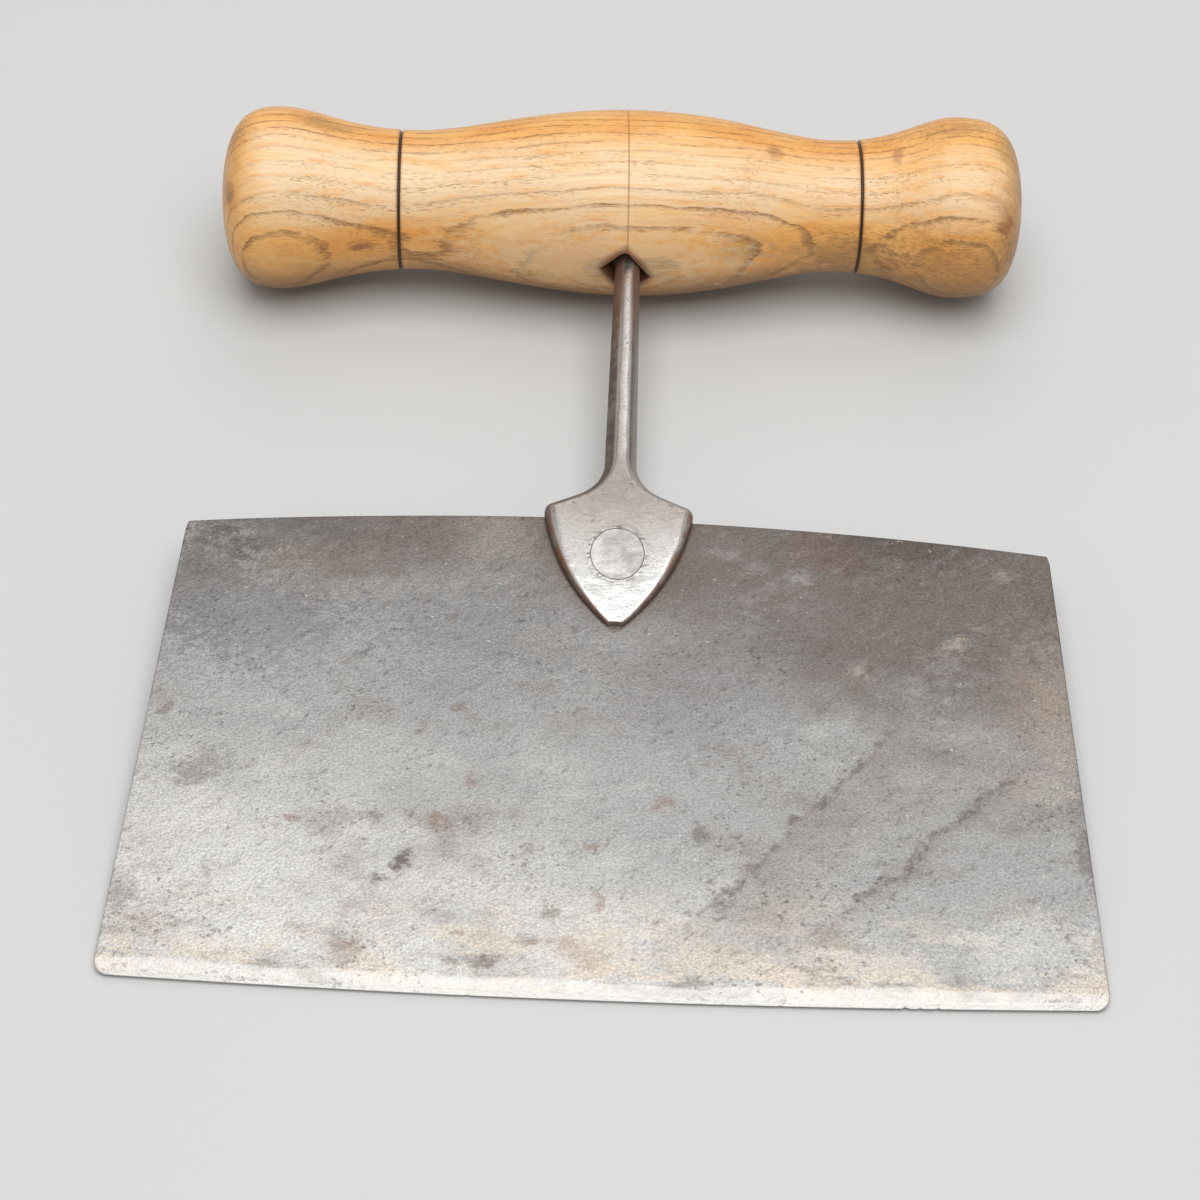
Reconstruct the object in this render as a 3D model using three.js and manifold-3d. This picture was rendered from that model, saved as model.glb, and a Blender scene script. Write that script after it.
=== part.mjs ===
// Single-bladed herb chopper with a turned T handle, lying on a table as it is put down.
// A flat steel blade sits in the split palm of a forged shank and is held there by one flush rivet.
// The shank's tang goes through the wooden handle and is hammered over a rove on the far side.
//
// Sizes are millimetres. In the chopper's own frame x runs along the handle, y runs up the shank
// from the cutting edge to the handle, and z comes out of the blade's front face. The handle's
// axis crosses the shank at y = 0, and the blade's middle plane is z = 0.

import * as THREE from "three";
import { mergeVertices } from "three/addons/utils/BufferGeometryUtils.js";
import Module from "manifold-3d";

// Blade
const SHANK_REACH = 73.9; // handle axis to the crown of the blade's back
const BLADE_DEPTH = 92.2; // crown of the back to the lowest place of the cutting edge
const BACK_WIDTH = 149;
const EDGE_WIDTH = 159.6;
const BACK_RISE = 4.1; // arch of the back between its corners
const BACK_CROWN = -1.7; // place along x where the arch is highest
const EDGE_BELLY = 1.5; // bulge of the cutting edge between its corners
const EDGE_LOWEST = -7.4; // place along x where the worn edge hangs lowest
const BLADE_THICKNESS = 1.6;
const BEVEL_WIDTH = 1.7; // ground strip along the cutting edge, the same on both faces
const EDGE_LAND = 0.2; // thickness left at the worn cutting edge
const EDGE_CORNER = 2.4;
const BACK_CORNER = 0.8;

// Palm of the shank, with lengths measured from the crown of the blade's back
const PALM_WIDTH = 25.8;
const PALM_LAP = 22.2; // how far the tip reaches down the blade
const PALM_TIP_WIDTH = 3;
const PALM_POINT_RUN = 9.3; // straight run of the 45 degree point before its sides swell
const SHOULDER_RISE = 1.9; // shoulder corners above the blade's back
const SHOULDER_FALL = 25.5; // degrees, how steeply the shoulders fall to their corners
const SHOULDER_ROUND = 1.3;
const FLARE = 5.5; // run of the hollow curve from stem to shoulder
const CHEEK_AT_SHOULDER = 1.8; // steel left on each side of the slot
const CHEEK_AT_TIP = 0.7;
const PALM_BEVEL = { width: 1.3, drop: 1 };
const TIP_BEVEL = { width: 0.5, drop: 0.35 };

// Stem, an eight-sided bar that swells from head to foot
const STEM_HEAD = { width: 4.6, depth: 5 };
const STEM_FOOT = { width: 5.6, depth: 5.6 };
const OCTAGON = 2 - Math.SQRT2; // share of the half width that a regular octagon's corners take

// Rivet through blade and palm
const RIVET_DROP = 8.5; // below the crown of the blade's back
const RIVET_BODY = 6.2;
const RIVET_HEAD = { width: 9.1, length: 10.3 }; // hammered a little longer than wide
const RIVET_SINK = 0.7; // depth of the head's cone, from just outside the slot

// Turned handle, each side measured from the shank
const SWELL_DIAMETER = 34.6;
const LEFT = {
  end: 76.1,
  crown: 65.6, // thickest place of the knob
  crownDiameter: 33.8,
  waist: 39.6, // thinnest place between swell and knob
  waistDiameter: 25.9,
  ring: 42.8,
  swellPull: { leave: 0.44, arrive: 0.26 },
  endPull: { leave: 0.57, arrive: 0.85 },
};
const RIGHT = {
  end: 73.2,
  crown: 60.9,
  crownDiameter: 33.7,
  waist: 38.6,
  waistDiameter: 24.4,
  ring: 42.5,
  swellPull: { leave: 0.48, arrive: 0.26 },
  endPull: { leave: 0.65, arrive: 0.88 },
};
const HANDLE_SKEW = 1.87; // degrees that the handle sits out of square on the shank
const RING_WIDTH = 0.7; // burnt rings
const RING_DEPTH = 0.4;

// Fullness of the neck between waist and knob: the share of its run that the curve's pulls take.
// A side's swellPull does the same from swell to waist, and its endPull from the knob's crown to
// the end, where the second is a share of the knob's radius.
const NECK_PULL = { leave: 0.53, arrive: 0.28 };

// Tang, its seat in the handle, and the rove that it is hammered over
const MOUTH = { width: 9.4, height: 11.2, depth: 7 }; // a diamond, corner to corner
const BOLSTER = { across: 8, height: 2.4, flare: 2.6 };
const BOLSTER_SHARE = 0.86; // corner share that leaves the bolster nearly square
const TANG_DIAMETER = 4.4;
const ROVE_DIAMETER = 12.4;
const ROVE_THICKNESS = 1.3;
const ROVE_CHAMFER = 0.4;
const PEEN_DIAMETER = 7.4;
const PEEN_HEIGHT = 1.5;
const PEEN_PULL = { rim: 0.7, crown: 0.5 }; // shares of the hammered end's height and radius

// Clearances
const STEEL_FIT = 0.12; // steel to steel: slot, rivet and rivet holes
const WOOD_FIT = 0.25; // tang and rove in the handle
const SEAT_GAP = 0.2; // faces that rest on each other

// Facets
const TURNED_SIDES = 44;
const PROFILE_STEPS = 8;
const SHEET_STEPS = 32;
const BORE_SIDES = 24;
const RIM_SIDES = 48;
const SQUARE_SIDES = 4;
const PAST = 5; // how far a cutter runs past what it cuts
const MERGE = 1e-4;

const STEEL = { color: 0x8f8a85, roughness: 0.42, metalness: 0.9 };
const FORGED = { color: 0x6d645e, roughness: 0.38, metalness: 0.9 };
const WOOD = { color: 0xc8985a, roughness: 0.5, metalness: 0 };

const backY = -SHANK_REACH;
const edgeY = backY - BLADE_DEPTH;
const swellRadius = SWELL_DIAMETER / 2;

const wasm = await Module();
wasm.setup();

/** A closed geometry as a solid that can be joined and cut. */
function solidOf(geometry) {
  const bare = new THREE.BufferGeometry();
  bare.setAttribute("position", geometry.getAttribute("position"));
  bare.setIndex(geometry.getIndex());
  const merged = mergeVertices(bare, MERGE);
  const corners = merged.getIndex().array;
  const triangles = [];
  for (let i = 0; i < corners.length; i += 3) {
    const [a, b, c] = corners.subarray(i, i + 3);
    if (a !== b && b !== c && c !== a) triangles.push(a, b, c);
  }
  const mesh = new wasm.Mesh({
    numProp: 3,
    vertProperties: new Float32Array(merged.getAttribute("position").array),
    triVerts: new Uint32Array(triangles),
  });
  return new wasm.Manifold(mesh);
}

/** A named mesh of a finished solid. */
function pieceOf(name, solid, finish) {
  const mesh = solid.getMesh();
  const geometry = new THREE.BufferGeometry();
  geometry.setAttribute("position", new THREE.BufferAttribute(mesh.vertProperties, 3));
  geometry.setIndex(new THREE.BufferAttribute(mesh.triVerts, 1));
  geometry.computeVertexNormals();
  const piece = new THREE.Mesh(geometry, new THREE.MeshStandardMaterial(finish));
  piece.name = name;
  return piece;
}

/** A solid skinned over rings of as many points each, closed by a fan at either end. */
function loft(rings) {
  const sides = rings[0].length;
  const last = (rings.length - 1) * sides;
  const index = [];
  for (let start = 0; start < last; start += sides) {
    for (let j = 0; j < sides; j++) {
      const a = start + j;
      const b = start + ((j + 1) % sides);
      index.push(a, b, a + sides, b, b + sides, a + sides);
    }
  }
  for (let j = 1; j + 1 < sides; j++) {
    index.push(0, j + 1, j);
    index.push(last, last + j, last + j + 1);
  }
  const geometry = new THREE.BufferGeometry().setFromPoints(rings.flat());
  geometry.setIndex(index);
  return solidOf(geometry);
}

/** A round or many-sided bar along y between two heights, stretched along z. */
function barAlongY(diameter, low, high, sides, stretch = 1) {
  const bar = new THREE.CylinderGeometry(diameter / 2, diameter / 2, high - low, sides);
  return solidOf(bar.scale(1, 1, stretch).translate(0, (low + high) / 2, 0));
}

/** Radius of the circle that rises by `rise` over a chord of `width`. */
function radiusOfArch(width, rise) {
  return (width * width) / (8 * rise) + rise / 2;
}

// Blade

/** Circle of the arched back, which bulges towards the handle. */
function backArch() {
  const radius = radiusOfArch(BACK_WIDTH, BACK_RISE);
  const centre = new THREE.Vector2(BACK_CROWN, backY - radius);
  return { radius, centre, at: (x) => centre.y + Math.sqrt(radius ** 2 - (x - centre.x) ** 2) };
}

/** Circle of the cutting edge, which bulges away from the handle. */
function edgeArch() {
  const radius = radiusOfArch(EDGE_WIDTH, EDGE_BELLY);
  const centre = new THREE.Vector2(EDGE_LOWEST, edgeY + radius);
  return { radius, centre, at: (x) => centre.y - Math.sqrt(radius ** 2 - (x - centre.x) ** 2) };
}

/** Corners of one side of the blade, and where their roundings begin; `side` is 1 on the right. */
function bladeSide(side) {
  const backCorner = new THREE.Vector2((side * BACK_WIDTH) / 2, 0);
  backCorner.y = backArch().at(backCorner.x);
  const edgeCorner = new THREE.Vector2((side * EDGE_WIDTH) / 2, 0);
  edgeCorner.y = edgeArch().at(edgeCorner.x);
  const upTheSide = backCorner.clone().sub(edgeCorner).normalize();
  return {
    backCorner,
    edgeCorner,
    head: backCorner.clone().addScaledVector(upTheSide, -BACK_CORNER),
    foot: edgeCorner.clone().addScaledVector(upTheSide, EDGE_CORNER),
    backEnd: backCorner.x - side * BACK_CORNER,
    edgeEnd: edgeCorner.x - side * EDGE_CORNER,
  };
}

/** Front view of the blade, anticlockwise from the left end of the cutting edge. */
function bladeOutline() {
  const back = backArch();
  const edge = edgeArch();
  const left = bladeSide(-1);
  const right = bladeSide(1);
  const edgeTurn = (x) => Math.asin((x - edge.centre.x) / edge.radius) - Math.PI / 2;
  const backTurn = (x) => Math.acos((x - back.centre.x) / back.radius);

  const outline = new THREE.Shape();
  outline.absarc(
    edge.centre.x, edge.centre.y, edge.radius,
    edgeTurn(left.edgeEnd), edgeTurn(right.edgeEnd),
  );
  outline.quadraticCurveTo(right.edgeCorner.x, right.edgeCorner.y, right.foot.x, right.foot.y);
  outline.lineTo(right.head.x, right.head.y);
  outline.quadraticCurveTo(
    right.backCorner.x, right.backCorner.y,
    right.backEnd, back.at(right.backEnd),
  );
  outline.absarc(
    back.centre.x, back.centre.y, back.radius,
    backTurn(right.backEnd), backTurn(left.backEnd),
  );
  outline.quadraticCurveTo(left.backCorner.x, left.backCorner.y, left.head.x, left.head.y);
  outline.lineTo(left.foot.x, left.foot.y);
  outline.quadraticCurveTo(
    left.edgeCorner.x, left.edgeCorner.y,
    left.edgeEnd, edge.at(left.edgeEnd),
  );
  return outline;
}

/** Wedge-edged sheet that the blade is cut from: both faces fall in to a line past the edge. */
function groundSheet() {
  const half = BLADE_THICKNESS / 2;
  const pastEdge = (EDGE_LAND / 2) * (BEVEL_WIDTH / (half - EDGE_LAND / 2));
  const edge = edgeArch();
  const reach = EDGE_WIDTH / 2 + PAST;
  const rings = [];
  for (let i = 0; i <= SHEET_STEPS; i++) {
    const x = reach * ((2 * i) / SHEET_STEPS - 1);
    const apex = edge.at(x) - pastEdge;
    const grind = edge.at(x) + BEVEL_WIDTH;
    rings.push([
      new THREE.Vector3(x, backY + PAST, half),
      new THREE.Vector3(x, grind, half),
      new THREE.Vector3(x, apex, 0),
      new THREE.Vector3(x, grind, -half),
      new THREE.Vector3(x, backY + PAST, -half),
    ]);
  }
  return loft(rings);
}

function blade() {
  const depth = BLADE_THICKNESS + 2 * PAST;
  const prism = new THREE.ExtrudeGeometry(bladeOutline(), {
    depth,
    bevelEnabled: false,
    curveSegments: PROFILE_STEPS,
  });
  const cut = solidOf(prism.translate(0, 0, -depth / 2)).intersect(groundSheet());
  return pieceOf("blade", cut.subtract(rivetBody(STEEL_FIT)), STEEL);
}

// Shank

const shoulderY = backY + SHOULDER_RISE;
const tipY = backY - PALM_LAP;
const slotHalf = BLADE_THICKNESS / 2 + STEEL_FIT;
const mouthFloor = -swellRadius + MOUTH.depth;
const bolsterTop = mouthFloor - SEAT_GAP;
const bolsterFoot = bolsterTop - BOLSTER.height;
const stemHeadY = bolsterFoot - BOLSTER.flare;
const shoulderSlope = Math.tan(THREE.MathUtils.degToRad(SHOULDER_FALL));
const stemFootHalf = STEM_FOOT.width / 2;
const flareY = shoulderY + shoulderSlope * (PALM_WIDTH / 2 - stemFootHalf);
const stemFootY = flareY + FLARE;

/** Right-hand half of the front view, from the palm's tip up to the stem's head. */
function shankOutline() {
  const fall = THREE.MathUtils.degToRad(SHOULDER_FALL);
  const outward = new THREE.Vector2(Math.cos(fall), -Math.sin(fall));
  const corner = new THREE.Vector2(PALM_WIDTH / 2, shoulderY);
  const crotch = new THREE.Vector2(stemFootHalf, flareY);
  const shoulderOut = corner.clone().addScaledVector(outward, -SHOULDER_ROUND);
  const shoulderIn = crotch.clone().addScaledVector(outward, FLARE);
  const tipHalf = PALM_TIP_WIDTH / 2;

  const outline = new THREE.Path();
  outline.moveTo(tipHalf, tipY);
  outline.quadraticCurveTo(
    tipHalf + PALM_POINT_RUN, tipY + PALM_POINT_RUN,
    corner.x, corner.y - SHOULDER_ROUND,
  );
  outline.quadraticCurveTo(corner.x, corner.y, shoulderOut.x, shoulderOut.y);
  outline.lineTo(shoulderIn.x, shoulderIn.y);
  outline.quadraticCurveTo(crotch.x, crotch.y, stemFootHalf, stemFootY);
  outline.lineTo(STEM_HEAD.width / 2, stemHeadY);
  return outline.getPoints(PROFILE_STEPS);
}

/** Half the shank's thickness at height y: wedge-shaped palm, then the tapering stem. */
function shankHalfDepth(y) {
  const shoulder = slotHalf + CHEEK_AT_SHOULDER;
  const tip = slotHalf + CHEEK_AT_TIP;
  if (y < shoulderY) return THREE.MathUtils.mapLinear(y, tipY, shoulderY, tip, shoulder);
  if (y < stemFootY) {
    return THREE.MathUtils.mapLinear(y, shoulderY, stemFootY, shoulder, STEM_FOOT.depth / 2);
  }
  const head = STEM_HEAD.depth / 2;
  return THREE.MathUtils.mapLinear(y, stemFootY, stemHeadY, STEM_FOOT.depth / 2, head);
}

/** Width and drop of the bevel at height y, where the outline's half width is `half`. */
function shankBevel(y, half) {
  const octagon = { width: half * OCTAGON, drop: shankHalfDepth(y) * OCTAGON };
  if (y >= stemFootY) return octagon;
  const footHalf = STEM_FOOT.depth / 2;
  const foot = { width: stemFootHalf * OCTAGON, drop: footHalf * OCTAGON };
  const [from, to, low, high] =
    y < shoulderY ? [TIP_BEVEL, PALM_BEVEL, tipY, shoulderY] : [PALM_BEVEL, foot, shoulderY, stemFootY];
  return {
    width: THREE.MathUtils.mapLinear(y, low, high, from.width, to.width),
    drop: THREE.MathUtils.mapLinear(y, low, high, from.drop, to.drop),
  };
}

/** Eight points round the shank: a face edge and a side edge in each quarter. */
function eightSidedRing(face, faceDepth, side, sideDepth) {
  return [
    new THREE.Vector3(face.x, face.y, faceDepth),
    new THREE.Vector3(side.x, side.y, sideDepth),
    new THREE.Vector3(side.x, side.y, -sideDepth),
    new THREE.Vector3(face.x, face.y, -faceDepth),
    new THREE.Vector3(-face.x, face.y, -faceDepth),
    new THREE.Vector3(-side.x, side.y, -sideDepth),
    new THREE.Vector3(-side.x, side.y, sideDepth),
    new THREE.Vector3(-face.x, face.y, faceDepth),
  ];
}

/** Ring of the bolster, the nearly square swelling that bears on the mouth's floor. */
function bolsterRing(y) {
  const half = BOLSTER.across / 2;
  const inner = half * (1 - BOLSTER_SHARE);
  return eightSidedRing(new THREE.Vector2(inner, y), half, new THREE.Vector2(half, y), inner);
}

/** Forged blank of the shank from palm to bolster, before the slot and the rivet hole. */
function shankBlank() {
  const outline = shankOutline();
  const rings = outline.map((point, i) => {
    const before = outline[Math.max(i - 1, 0)];
    const after = outline[Math.min(i + 1, outline.length - 1)];
    const along = after.clone().sub(before).normalize();
    const inward = new THREE.Vector2(-along.y, along.x);
    const bevel = shankBevel(point.y, point.x);
    const face = point.clone().addScaledVector(inward, bevel.width);
    const sideDepth = shankHalfDepth(point.y) - bevel.drop;
    return eightSidedRing(face, shankHalfDepth(face.y), point, sideDepth);
  });
  rings.push(bolsterRing(bolsterFoot), bolsterRing(bolsterTop));
  return loft(rings);
}

/** Tang from the bolster through the handle, hammered out to a low dome over the rove. */
function tang() {
  const foot = roveTop + SEAT_GAP;
  const top = foot + PEEN_HEIGHT;
  const rim = PEEN_DIAMETER / 2;
  const dome = new THREE.Path();
  dome.moveTo(0, foot);
  dome.lineTo(rim, foot);
  dome.bezierCurveTo(rim, foot + PEEN_HEIGHT * PEEN_PULL.rim, rim * PEEN_PULL.crown, top, 0, top);
  const bar = barAlongY(TANG_DIAMETER, bolsterFoot, (foot + top) / 2, BORE_SIDES);
  return bar.add(solidOf(new THREE.LatheGeometry(dome.getPoints(PROFILE_STEPS), BORE_SIDES)));
}

function shank(blank) {
  const slotTop = backY + STEEL_FIT;
  const slotFoot = tipY - PAST;
  const slot = new THREE.BoxGeometry(PALM_WIDTH + 2 * PAST, slotTop - slotFoot, 2 * slotHalf);
  const split = blank.subtract(solidOf(slot.translate(0, (slotTop + slotFoot) / 2, 0)));
  const drilled = split.subtract(rivetBlank(STEEL_FIT));
  return pieceOf("shank", drilled.add(tang()), FORGED);
}

// Rivet

const rivetY = backY - RIVET_DROP;

/** Round body of the rivet, with its radius enlarged by `extra` for the hole that takes it. */
function rivetBody(extra) {
  const length = 2 * (slotHalf + CHEEK_AT_SHOULDER + PAST);
  const radius = RIVET_BODY / 2 + extra;
  const body = new THREE.CylinderGeometry(radius, radius, length, BORE_SIDES);
  return solidOf(body.rotateX(Math.PI / 2).translate(0, rivetY, 0));
}

/** Rivet with its two heads still proud: a cone out of the body, then a straight rim. */
function rivetBlank(extra) {
  const rim = RIVET_HEAD.width / 2 + extra;
  const neck = RIVET_BODY / 2 + extra;
  const top = slotHalf + CHEEK_AT_SHOULDER + PAST;
  const profile = [
    new THREE.Vector2(0, slotHalf),
    new THREE.Vector2(neck, slotHalf),
    new THREE.Vector2(rim, slotHalf + RIVET_SINK),
    new THREE.Vector2(rim, top),
    new THREE.Vector2(0, top),
  ];
  const head = new THREE.LatheGeometry(profile, RIM_SIDES).rotateX(Math.PI / 2);
  head.scale(1, RIVET_HEAD.length / RIVET_HEAD.width, 1);
  const front = solidOf(head.clone().translate(0, rivetY, 0));
  const rear = solidOf(head.rotateX(Math.PI).translate(0, rivetY, 0));
  return rivetBody(extra).add(front).add(rear);
}

/** Finished rivet, dressed flush with both faces of the palm. */
function rivet(blank) {
  return pieceOf("rivet", rivetBlank(0).intersect(blank), STEEL);
}

// Handle

/** One side of the turned profile, from the middle of the swell out to the end, as (radius, x). */
function addHandleSide(path, side) {
  const waist = side.waistDiameter / 2;
  const crown = side.crownDiameter / 2;
  const neckRun = side.crown - side.waist;
  const endRun = side.end - side.crown;
  path.bezierCurveTo(
    swellRadius, side.waist * side.swellPull.leave,
    waist, side.waist * (1 - side.swellPull.arrive),
    waist, side.waist,
  );
  path.bezierCurveTo(
    waist, side.waist + neckRun * NECK_PULL.leave,
    crown, side.crown - neckRun * NECK_PULL.arrive,
    crown, side.crown,
  );
  path.bezierCurveTo(
    crown, side.crown + endRun * side.endPull.leave,
    crown * side.endPull.arrive, side.end,
    0, side.end,
  );
}

/** Radius of a sampled profile at x. */
function radiusAt(profile, x) {
  const after = profile.findIndex((point) => point.y >= x);
  const low = profile[after - 1];
  const high = profile[after];
  return THREE.MathUtils.mapLinear(x, low.y, high.y, low.x, high.x);
}

/** The profile with a V-shaped ring turned into it at x. */
function withRing(profile, x) {
  const low = x - RING_WIDTH / 2;
  const high = x + RING_WIDTH / 2;
  return [
    ...profile.filter((point) => point.y < low),
    new THREE.Vector2(radiusAt(profile, low), low),
    new THREE.Vector2(radiusAt(profile, x) - RING_DEPTH, x),
    new THREE.Vector2(radiusAt(profile, high), high),
    ...profile.filter((point) => point.y > high),
  ];
}

/** Half profile of one side with its burnt ring, from the swell outwards. */
function handleSide(side) {
  const path = new THREE.Path();
  path.moveTo(swellRadius, 0);
  addHandleSide(path, side);
  return withRing(path.getPoints(PROFILE_STEPS), side.ring);
}

function handle() {
  const left = handleSide(LEFT).map((point) => new THREE.Vector2(point.x, -point.y));
  const profile = [...left.slice(1).reverse(), ...handleSide(RIGHT)];
  const turned = new THREE.LatheGeometry(profile, TURNED_SIDES).rotateZ(-Math.PI / 2);
  turned.rotateZ(THREE.MathUtils.degToRad(HANDLE_SKEW));
  const far = swellRadius + PAST;
  const tallness = MOUTH.height / MOUTH.width;
  const mouth = barAlongY(MOUTH.width, -far, mouthFloor, SQUARE_SIDES, tallness);
  const bore = barAlongY(TANG_DIAMETER + 2 * WOOD_FIT, -far, far, BORE_SIDES);
  const seat = barAlongY(ROVE_DIAMETER + 2 * WOOD_FIT, roveSeat, far, RIM_SIDES);
  return pieceOf("handle", solidOf(turned).subtract(mouth).subtract(bore).subtract(seat), WOOD);
}

// Rove, let into the back of the handle where its flat seat is as wide as the rove

const seatRadius = ROVE_DIAMETER / 2 + WOOD_FIT;
const roveSeat = Math.sqrt(swellRadius * swellRadius - seatRadius * seatRadius);
const roveFoot = roveSeat + SEAT_GAP;
const roveTop = roveFoot + ROVE_THICKNESS;

function rove() {
  const hole = TANG_DIAMETER / 2 + STEEL_FIT;
  const rim = ROVE_DIAMETER / 2;
  const section = [
    new THREE.Vector2(hole, roveFoot),
    new THREE.Vector2(rim, roveFoot),
    new THREE.Vector2(rim, roveTop - ROVE_CHAMFER),
    new THREE.Vector2(rim - ROVE_CHAMFER, roveTop),
    new THREE.Vector2(hole, roveTop),
    new THREE.Vector2(hole, roveFoot),
  ];
  return pieceOf("rove", solidOf(new THREE.LatheGeometry(section, RIM_SIDES)), FORGED);
}

// Assembly

/** Angle at which the handle's swell and the rear of the ground edge both touch a flat table. */
function restingTilt() {
  const reach = -edgeY - BEVEL_WIDTH;
  const behind = BLADE_THICKNESS / 2;
  return Math.asin(swellRadius / Math.hypot(reach, behind)) - Math.atan2(behind, reach);
}

const blank = shankBlank();
const chopper = new THREE.Group();
chopper.add(blade(), shank(blank), rivet(blank), handle(), rove());
chopper.rotation.x = restingTilt();

const lying = new THREE.Group();
lying.add(chopper);
const box = new THREE.Box3().setFromObject(lying, true);
const middle = box.getCenter(new THREE.Vector3());
chopper.position.set(-middle.x, -middle.y, -box.min.z);

export default lying;
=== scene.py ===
"""Looks of a single-bladed herb chopper with a turned T handle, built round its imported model.

Each piece is modelled in the chopper's own frame and then laid on the table. There x runs along the
handle, y runs up the shank from the cutting edge to the handle, and z comes out of the blade's front
face. The handle's axis crosses the shank at y = 0, and the blade's middle plane is z = 0.
"""

import math

import bmesh
import bpy
from bpy.props import FloatProperty, FloatVectorProperty, PointerProperty
from mathutils import Euler, Matrix, Vector, noise
from mathutils.geometry import interpolate_bezier


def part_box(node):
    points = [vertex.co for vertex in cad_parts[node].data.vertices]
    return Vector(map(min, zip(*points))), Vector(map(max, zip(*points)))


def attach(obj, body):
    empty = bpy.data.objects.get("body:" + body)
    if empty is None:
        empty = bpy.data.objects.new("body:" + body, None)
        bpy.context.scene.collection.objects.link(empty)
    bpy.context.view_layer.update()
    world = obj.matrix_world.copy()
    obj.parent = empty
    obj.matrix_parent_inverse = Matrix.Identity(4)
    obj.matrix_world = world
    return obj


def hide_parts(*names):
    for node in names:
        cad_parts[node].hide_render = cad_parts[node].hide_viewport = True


bl_info = {
    "name": "Herb chopper",
    "version": (1, 0, 0),
    "blender": (4, 5, 0),
    "location": "3D View > Sidebar > Chopper",
    "description": "Models and finishes a riveted herb chopper with a turned handle",
    "category": "Object",
}

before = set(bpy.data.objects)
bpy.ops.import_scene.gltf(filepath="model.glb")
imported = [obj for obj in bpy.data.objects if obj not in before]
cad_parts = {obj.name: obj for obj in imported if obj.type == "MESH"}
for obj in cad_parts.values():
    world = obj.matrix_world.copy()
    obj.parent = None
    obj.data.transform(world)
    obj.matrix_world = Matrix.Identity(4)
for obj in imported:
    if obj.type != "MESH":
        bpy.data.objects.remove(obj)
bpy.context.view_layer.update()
BODY = "root"
MM = 0.001
SHARP_ANGLE = math.radians(32)


# Settings


def length(name, description, millimetres):
    """A length whose default is given in millimetres."""
    return FloatProperty(
        name=name,
        description=description,
        default=millimetres * MM,
        min=0,
        precision=4,
        unit="LENGTH",
    )


def position(name, description, millimetres):
    """A place on either side of the middle, whose default is given in millimetres."""
    return FloatProperty(
        name=name, description=description, default=millimetres * MM, precision=4, unit="LENGTH"
    )


def share(name, description, default):
    """A share between nothing and all."""
    return FloatProperty(
        name=name, description=description, default=default, min=0, max=1, subtype="FACTOR"
    )


def angle(name, description, degrees):
    """An angle whose default is given in degrees."""
    return FloatProperty(
        name=name, description=description, default=math.radians(degrees), subtype="ANGLE"
    )


def colour(name, description, red, green, blue):
    """A colour in linear light."""
    return FloatVectorProperty(
        name=name,
        description=description,
        default=(red, green, blue),
        min=0,
        max=1,
        size=3,
        subtype="COLOR",
    )


class BladeSizes(bpy.types.PropertyGroup):
    reach: length("Reach", "Handle axis to the crown of the blade's back", 73.9)
    depth: length("Depth", "Crown of the back to the lowest place of the edge", 92.2)
    back_width: length("Back width", "Corner to corner along the back", 149.0)
    edge_width: length("Edge width", "Corner to corner along the cutting edge", 159.6)
    back_rise: length("Back rise", "Arch of the back between its corners", 4.1)
    back_crown: position("Back crown", "Place along the blade where its back is highest", -1.7)
    edge_belly: length("Edge belly", "Bulge of the cutting edge between its corners", 1.5)
    edge_lowest: position("Edge lowest", "Place along the blade where its edge hangs lowest", -7.4)
    thickness: length("Thickness", "Thickness of the plate", 1.6)
    bevel: length("Bevel", "Width of the ground strip along the cutting edge", 1.7)
    grind: length("Grind", "Width of the older grinding above the edge", 2.6)
    hone: length("Hone", "Width of the bright strip honed at the edge", 0.85)
    hone_thickness: length("Hone thickness", "Thickness where the honed strip begins", 0.84)
    land: length("Land", "Thickness left at the worn cutting edge", 0.2)
    edge_corner: length("Edge corner", "Rounding of the cutting edge's corners", 2.4)
    back_corner: length("Back corner", "Rounding of the back's corners", 0.8)
    softening: length("Softening", "Rounding of the plate's worn arrises", 0.22)
    bow: length("Bow", "Hand-hammered waviness of the plate", 0.1)


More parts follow.
